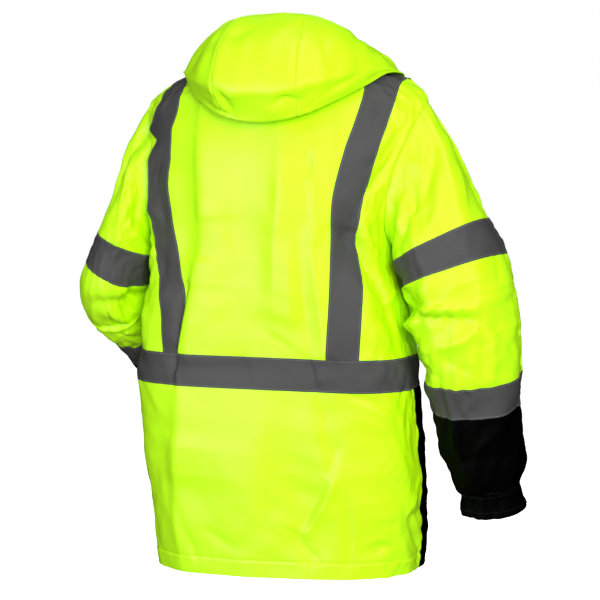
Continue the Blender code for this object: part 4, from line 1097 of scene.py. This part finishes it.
def add_body(looks, sewing):
    """The back and the fronts with their tapes. Returns them for the collar and the zip."""
    halves = {(side, face): hem_relief(half_panel(side, face))
              for side in (LEFT, RIGHT) for face in (BACK, FRONT)}
    join = nearest(LOW_LEVELS, WAIST_TAPE_LEVEL)
    near = sum(len(span) for span in COLUMN_SPANS[:2])     # columns from the centre to a tape
    far = near + len(ON_TAPE)

    back = joined(mirrored(halves[LEFT, BACK]), halves[RIGHT, BACK])
    edges = ("first_column", "last_column", "last_row")
    back = sewn_edges(back, (Sewn(edges[0], 0.5), Sewn(edges[1], 0.5), Sewn(edges[2])), 50)
    add_sheet("back_panel", drawn_in(back, edges), looks, "yellow_cloth")
    add_waist_tape("tape_waist_back", back, looks, sewing)
    centre = back.points.shape[1] // 2
    for side, name in SIDES:
        columns = (slice(centre - far, centre - near + 1) if side == LEFT
                   else slice(centre + near, centre + far + 1))
        add_shoulder_tape(f"tape_back_{name}", back, columns, looks, sewing)

        front = sewn_edges(halves[side, FRONT], (Sewn("last_column"), Sewn("last_row"),
                                                 Sewn("first_column", 0.5, 3.0, 0.2, 12.0)),
                           60 + side)
        halves[side, FRONT] = front
        upper, lower = f"front_{name}_upper", f"front_{name}_lower"
        for node, rows, slot, inset, above, thread in (
                (upper, slice(join, None), "yellow_cloth", ("first_row", "last_row", "last_column"),
                 "collar", "yellow"),
                (lower, slice(0, join + 1), "black_cloth", ("last_row", "last_column"),
                 upper, "black")):
            piece = cut(front, rows)
            add_sheet(node, drawn_in(piece, inset), looks, slot)
            sewing[thread].beside(piece, "first_column", 6.0)
        add_waist_tape(f"tape_waist_front_{name}", front, looks, sewing)
        add_shoulder_tape(f"tape_front_{name}", front, slice(near, far + 1),
                          looks, sewing)
        sewing["black"].beside(cut(front, slice(0, join)), "first_row", HEM_LINE, -0.4)
    sewing["yellow"].beside(back, "first_row", HEM_LINE, -0.4)
    for edge in ("first_column", "last_column"):
        sewing["yellow"].beside(back, edge, 5.0)
    halves["back"] = back
    return halves


# ---------------------------------------------------------------- collar and zip
def neck_points(halves):
    """Points along the neck seam, from the left front by the back to the right front, and the
    level directions away from the neck."""
    back = halves["back"].points[-1]
    centre, count = len(back) // 2, len(COLUMN_SPANS[0])
    left, right = (halves[side, FRONT].points[-1, :count + 1] for side in (LEFT, RIGHT))
    points = np.concatenate([left, back[centre - count + 1:centre + count], right[::-1]])
    return points, unit(points * [1, 1, 0])


COLLAR_ROWS = np.array([0, 0.04, 0.1, 0.2, 0.32, 0.45, 0.6, 0.75, 0.88, 0.95, 1.0])
COLLAR_THICK = 1.8         # two layers of cloth


def collar_grid(halves):
    """The stand-up collar: it leans in at first, then stands straight, with a soft wave."""
    base, away = neck_points(halves)
    grid = np.array([base - away * (1.8 + 4 * min(f / 0.6, 1.0)) + [0, 0, COLLAR_HEIGHT * f - WALL]
                     for f in COLLAR_ROWS])
    turn = np.degrees(np.arctan2(grid[..., 0], grid[..., 1]))
    along = np.broadcast_to(COLLAR_ROWS[:, None] * COLLAR_HEIGHT, turn.shape)
    wave = 1.3 * np.sin(np.radians(turn * 5 + 30)) + 0.8 * np.sin(np.radians(turn * 9))
    push = wave * COLLAR_ROWS[:, None] ** 1.5 * np.clip((175 - np.abs(turn)) / 25, 0, 1)
    normals = np.broadcast_to(away, grid.shape)
    return Grid(grid + push[..., None] * normals, normals, along, turn)


def add_collar(halves, looks, sewing):
    grid = collar_grid(halves)
    add_sheet("collar", grid, looks, "yellow_cloth",
              thick=COLLAR_THICK)
    for edge, distance in (("last_row", 6.0), ("first_row", 5.0)):
        sewing["yellow"].beside(grid, edge, distance)


ZIP_TAPE_THICK = 0.8


def zip_line(halves, side):
    """Rows across one zip tape, from its coil to its outer edge under the cloth."""
    grid = halves[side, FRONT]
    collar = collar_grid(halves)
    rows, directions = [], []

    def add_row(a, b, a_normal, b_normal):
        coil = a * [0, 1, 1] + [side * ZIP_COIL_HALF, 0, 0]
        f = (ZIP_TAPE_HALF - ZIP_OPENING_HALF) / abs(b[0] - a[0])
        rows.append([coil, (coil + a) / 2, a, a + (b - a) * f])
        n = unit(a_normal + (b_normal - a_normal) * f)
        directions.append([a_normal, a_normal, a_normal, n])

    for points, normals in zip(grid.points[:-1], grid.normals[:-1]):
        add_row(points[0], points[3], normals[0], normals[3])
    edge = [0, 1] if side == LEFT else [-1, -2]
    away = collar.normals[0, edge]
    # At the neck seam the tape goes under the collar's foot.
    add_row(*(collar.points[0, edge] - 0.4 * away - [0, 0, 0.6]), *away)
    last = int(np.searchsorted(COLLAR_ROWS, ZIP_TOP)) - 1
    for k in range(1, last + 1):
        add_row(*collar.points[k, edge], *away)
    share = (ZIP_TOP - COLLAR_ROWS[last]) / (COLLAR_ROWS[last + 1] - COLLAR_ROWS[last])
    below, above = collar.points[last, edge], collar.points[last + 1, edge]
    add_row(*(below + (above - below) * share), *away)
    spots, directions = np.array(rows), np.array(directions)
    return spots - (WALL + LAYER_GAP) * directions, directions


def add_zip(halves, looks):
    lines = {}
    for side, name in SIDES:
        face, directions = zip_line(halves, side)
        node = f"zip_tape_{name}"
        add_piece(f"{node}_woven", node, face, face - ZIP_TAPE_THICK * directions, face,
                  looks, "zip_tape", False)
        lines[side] = (face[:, 0], directions[:, 0])
    path = (lines[LEFT][0] + lines[RIGHT][0]) / 2
    ups = unit(lines[LEFT][1] + lines[RIGHT][1])
    add_teeth(path, ups, looks["zip_teeth"])


TOOTH_PITCH = 2.0
FIRST_TOOTH, LAST_TOOTH = 6.0, 10.0        # from the line's two ends
# Across the centre line: how far, how high from 0 to 1, and half the width along the zip.
TOOTH_SECTIONS = ((-1.2, 0.0, 0.35), (-0.6, 1.0, 0.42), (1.0, 1.0, 0.42), (2.6, 0.75, 0.4),
                  (3.1, 0.0, 0.3))


def add_teeth(path, ups, material):
    """The closed coil: short bars that lie across the centre line, one from each side in turn."""
    at = lengths(path)
    count = int((at[-1] - FIRST_TOOTH - LAST_TOOTH) // (TOOTH_PITCH / 2))
    where = FIRST_TOOTH + np.arange(count) * TOOTH_PITCH / 2
    centre, up = sampled(path, at, where), unit(sampled(ups, at, where))
    ahead = unit(np.gradient(centre, axis=0))
    beside = unit(np.cross(ahead, up))
    hand = np.where(np.arange(count) % 2 == 0, 1.0, -1.0)[:, None]
    rings = []
    for reach, high, half in TOOTH_SECTIONS:
        middle = centre + beside * hand * reach + up * (0.25 + 0.35 * high)
        rings.append(np.stack([middle + ahead * half * a + up * 0.55 * b * (0.6 + 0.4 * high)
                               for a, b in ((-1, -1), (1, -1), (1, 1), (-1, 1))], 1))
    obj = make_mesh("zip_teeth", *bars(rings, ([[3, 2, 1, 0]], [[16, 17, 18, 19]])))
    obj.data.materials.append(material)
    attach(obj, "garment")


# ---------------------------------------------------------------- the hood
LEAST_LEVEL_UNDER_HOOD = 690.0
HOOD_CLEARANCE = 6.0
CORNER_TURN, CORNER_REACH = 86.0, 26.0     # degrees; the hood's side corners lie flatter


def height_on_body(x, y):
    """Height of the shoulders' surface at a place seen from above, or nothing outside them."""
    side, face = (LEFT if x > 0 else RIGHT), (BACK if y > 0 else FRONT)

    def reach(level):
        _, left, right, back, front, centre_y, square, _, _ = curve(BODY, np.array(level))
        across = abs(x) / (left if side == LEFT else right)
        deep = max(face * (y - centre_y), 0.0) / (back if face == BACK else front)
        return across**square + deep**square - 1, deep

    low, high = LEAST_LEVEL_UNDER_HOOD, NECK_LEVEL
    if reach(low)[0] > 0 or reach(high)[0] < 0:
        return None
    for _ in range(24):
        middle = (low + high) / 2
        if reach(middle)[0] < 0:
            low = middle
        else:
            high = middle
    row = curve(BODY, np.array(low))
    return row[0] - (row[7] * reach(low)[1] ** 2 if face == FRONT else 0.0)


def clear_of_body(point, clearance):
    """The point, lifted off the shoulders where it is too near them."""
    near = point[:2] * (1 - clearance / max(np.linalg.norm(point[:2]), 1.0))
    floor = height_on_body(*near)
    if floor is None or point[2] > floor + clearance:
        return point
    return np.array([point[0], point[1], floor + clearance])


def hood_profile(turn, side):
    """Control points in one direction from the neck seam, by the fold, to the hem turned in
    at the opening."""
    face, theta = (BACK, math.radians(turn)) if turn <= 90 else (FRONT, math.radians(180 - turn))
    row = curve(HOOD, np.array(turn))
    fold, bulge, brim = (row[i:i + 3] * [side, 1, 1] + [HOOD_SHIFT, 0, 0] for i in (0, 3, 6))
    spot = (np.array(NECK_LEVEL - 3), np.array(theta), side, face)
    seam = bare_body(*spot) + 0.6 * body_normal(*spot)
    up = np.array([0, 0, 1.0])
    out = unit((fold - seam) * [1, 1, 0])
    small = min(np.linalg.norm(brim - fold) / 90, 1.0)     # less than 1 where the hood is flat
    # the lower layer, from the neck seam out to the fold, clear of the shoulders
    lower = [seam + (fold - seam) * 0.3, seam + (fold - seam) * 0.64,
             fold - out * 13 * small + up * 3 * small, fold - out * 2]
    points = [seam] + [clear_of_body(p, HOOD_CLEARANCE) for p in lower]
    # the fold and the roll above it, then the upper layer over its crest to the brim
    corner = math.exp(-((turn - CORNER_TURN) / CORNER_REACH) ** 2)
    start = points[-1] + (out * (6 - 3 * corner) + up * 8) * small
    start[2] = min(start[2], bulge[2] - 7.0 * corner * small)
    points += [start, (start + bulge) / 2 + out * 2 * small, bulge]
    crest = bulge + (brim - bulge) * [0.22, 0.22, 0.80]
    for t in (0.3, 0.55, 0.8, 1.0):
        points.append((1 - t) ** 2 * bulge + 2 * t * (1 - t) * crest + t * t * brim)
    points += [brim - out * 7 * small - up * 4 * small,
               brim - out * 11 * small - up * BRIM_TURN_IN * small]
    return np.array(points)


def refined(grid, fine, axis):
    """The grid with fine cells for each of its own, on smooth curves through its points."""
    grid = np.moveaxis(grid, axis, 0)
    slopes = np.gradient(grid, axis=0)
    rows = []
    for i in range(len(grid) - 1):
        for t in np.arange(fine) / fine:
            rows.append(hermite(t, grid[i], grid[i + 1], slopes[i], slopes[i + 1]))
    rows.append(grid[-1])
    return np.moveaxis(np.array(rows), 0, axis)


def hood_turns():
    """Directions of the hood's control columns, from the centre back to where its front edge
    starts at the neck."""
    back = [90.0 * i / HOOD_BACK_CELLS for i in range(HOOD_BACK_CELLS + 1)]
    end = float(np.degrees(theta_at(np.array(NECK_LEVEL), ZIP_OPENING_HALF, LEFT)))
    end = 180 - (end + (90 - end) / HOOD_NECK_CELLS)
    return back + [90 + (end - 90) * i / HOOD_FRONT_CELLS for i in range(1, HOOD_FRONT_CELLS + 1)]


FREE_FROM, FREE_TO = 4.2, 11.4     # rows of the hood between which the cloth shows its creases
BRIM_ROW = 11
BRIM_STITCH, HOOD_SEAM_STITCH = 22.0, 3.4


def add_hood(looks, sewing):
    turns = hood_turns()
    marks = turns[::-1] + [-turn for turn in turns[1:]]
    control = np.array([hood_profile(abs(turn), LEFT if turn >= 0 else RIGHT) for turn in marks])
    points = refined(refined(control.transpose(1, 0, 2), HOOD_FINE, 0), HOOD_FINE, 1)
    normals = grid_normals(points, False)
    row, turn = np.broadcast_arrays(np.arange(len(points))[:, None] / HOOD_FINE,
                                    refined(np.array(marks)[None, :], HOOD_FINE, 1))
    push = relief(HOOD_CREASES, row, turn, HOOD_ROW, HOOD_TURN)
    push += crumple(row * HOOD_ROW, turn * HOOD_TURN, 77, (95, 60, 36), 0.02)
    # No creases where the cloth is held at the neck and the brim, and few at the side corners.
    free = np.clip((row - FREE_FROM) / 1.0, 0, 1) * np.clip((FREE_TO - row) / 0.6, 0, 1)
    free *= 1 - 0.8 * np.clip((np.abs(turn) - 48) / 16, 0, 1) * np.exp(-((row - 6.6) / 1.5) ** 2)
    whole = Grid(points + (push * free)[..., None] * normals, normals, row, turn)
    middle = (len(turns) - 1) * HOOD_FINE
    reach = HOOD_CENTRE_CELLS * HOOD_FINE
    for node, low, high, edges in (
            ("hood_left", 0, middle - reach, ("last_column",)),
            ("hood_centre", middle - reach, middle + reach, ("first_column", "last_column")),
            ("hood_right", middle + reach, 2 * middle, ("first_column",))):
        part = cut(whole, columns=slice(low, high + 1))
        part = sewn_edges(part, [Sewn(edge, 0.5, 4.0, 0.2, 8.0) for edge in edges], 90)
        add_sheet(node, drawn_in(part, edges), looks, "yellow_cloth")
        for edge in edges:
            sewing["yellow"].beside(part, edge, HOOD_SEAM_STITCH, span=slice(4 * HOOD_FINE, None))
        shown = cut(part, slice(0, BRIM_ROW * HOOD_FINE + 1))
        sewing["yellow"].beside(shown, "last_row", BRIM_STITCH)


# ---------------------------------------------------------------- the stage
CAMERA_PLACE = (-1.050, 2.600, -0.150)
CAMERA_AIM = (-0.0185, -0.0075, -0.3800)
CAMERA_LENS = 104.7        # on a 36 mm wide sensor
FLOOR_HEIGHT = -1.52


STUDIO_LIGHT = 0.38
FLOOR_GLOW = 0.85          # keeps the floor as pale as the photo's background
Light = namedtuple("Light", "name place aim_height size watts hidden_from")
LIGHTS = (
    Light("key", (-1.36, 2.09, 0.26), -0.3, 1.4, 108, ("visible_glossy", "visible_camera")),
    Light("fill", (1.45, 3.45, -0.2), -0.35, 1.8, 66, ()),
    Light("top", (-0.5, 1.8, 3.0), -0.1, 2.0, 40, ()),
    Light("front_fill", (1.4, -3.0, 1.9), -0.35, 2.0, 200, ("visible_glossy",)),
)


def place_aimed(obj, place, aim):
    """Puts a light or camera in the scene, turned towards a point."""
    bpy.context.scene.collection.objects.link(obj)
    obj.location = place
    way = np.array(aim, float) - np.array(place, float)
    yaw = math.atan2(-way[0], way[1])
    pitch = math.atan2(way[2], math.hypot(way[0], way[1]))
    obj.rotation_euler = (math.pi / 2 + pitch, 0.0, yaw)


def make_stage():
    bpy.ops.mesh.primitive_circle_add(vertices=96, radius=14, fill_type="NGON",
                                      location=(0, 0, FLOOR_HEIGHT))
    floor = bpy.context.object
    floor.name = "floor"
    material, tree, shader = material_nodes("pale_floor")
    plug(tree, shader, {"Base Color": (0.93, 0.93, 0.93, 1), "Roughness": 0.9,
                        "Emission Color": (1, 1, 1, 1), "Emission Strength": FLOOR_GLOW})
    floor.data.materials.append(material)
    floor.visible_diffuse = floor.visible_glossy = False

    world = bpy.data.worlds.new("studio")
    bpy.context.scene.world = world
    world.use_nodes = True
    tree = world.node_tree
    ray = add_node(tree, "ShaderNodeLightPath")
    ambient = maths(tree, "MULTIPLY", ray.outputs["Is Diffuse Ray"], STUDIO_LIGHT)
    plug(tree, tree.nodes["Background"],
         {"Color": (1, 1, 1, 1),
          "Strength": maths(tree, "ADD", ambient, ray.outputs["Is Camera Ray"])})

    for light in LIGHTS:
        lamp = bpy.data.lights.new(light.name, "AREA")
        lamp.shape, lamp.size, lamp.energy = "SQUARE", light.size, light.watts
        obj = bpy.data.objects.new(light.name, lamp)
        place_aimed(obj, light.place, (0, 0, light.aim_height))
        for ray_kind in light.hidden_from:
            setattr(obj, ray_kind, False)

    camera = bpy.data.objects.new("camera", bpy.data.cameras.new("camera"))
    camera.data.lens = CAMERA_LENS
    camera.data.sensor_width = 36
    place_aimed(camera, CAMERA_PLACE, CAMERA_AIM)
    bpy.context.scene.camera = camera
    bpy.context.scene.view_settings.view_transform = "Standard"


def main():
    for obj in list(bpy.data.objects):
        bpy.data.objects.remove(obj)
    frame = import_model()
    make_stage()
    looks = make_materials()
    sewing = {thread: Sewing(f"stitches_{thread}", looks[f"{thread}_thread"])
              for thread in ("yellow", "grey", "black")}
    halves = add_body(looks, sewing)
    for side, name in SIDES:
        add_sleeve(side, name, looks, sewing)
    add_collar(halves, looks, sewing)
    add_zip(halves, looks)
    add_hood(looks, sewing)
    for thread in sewing.values():
        thread.finish()
    for node in ("zip_slider", "zip_pull"):
        piece = frame["nodes"][node]
        piece.data.materials.clear()
        piece.data.materials.append(looks["dark_metal"])


main()
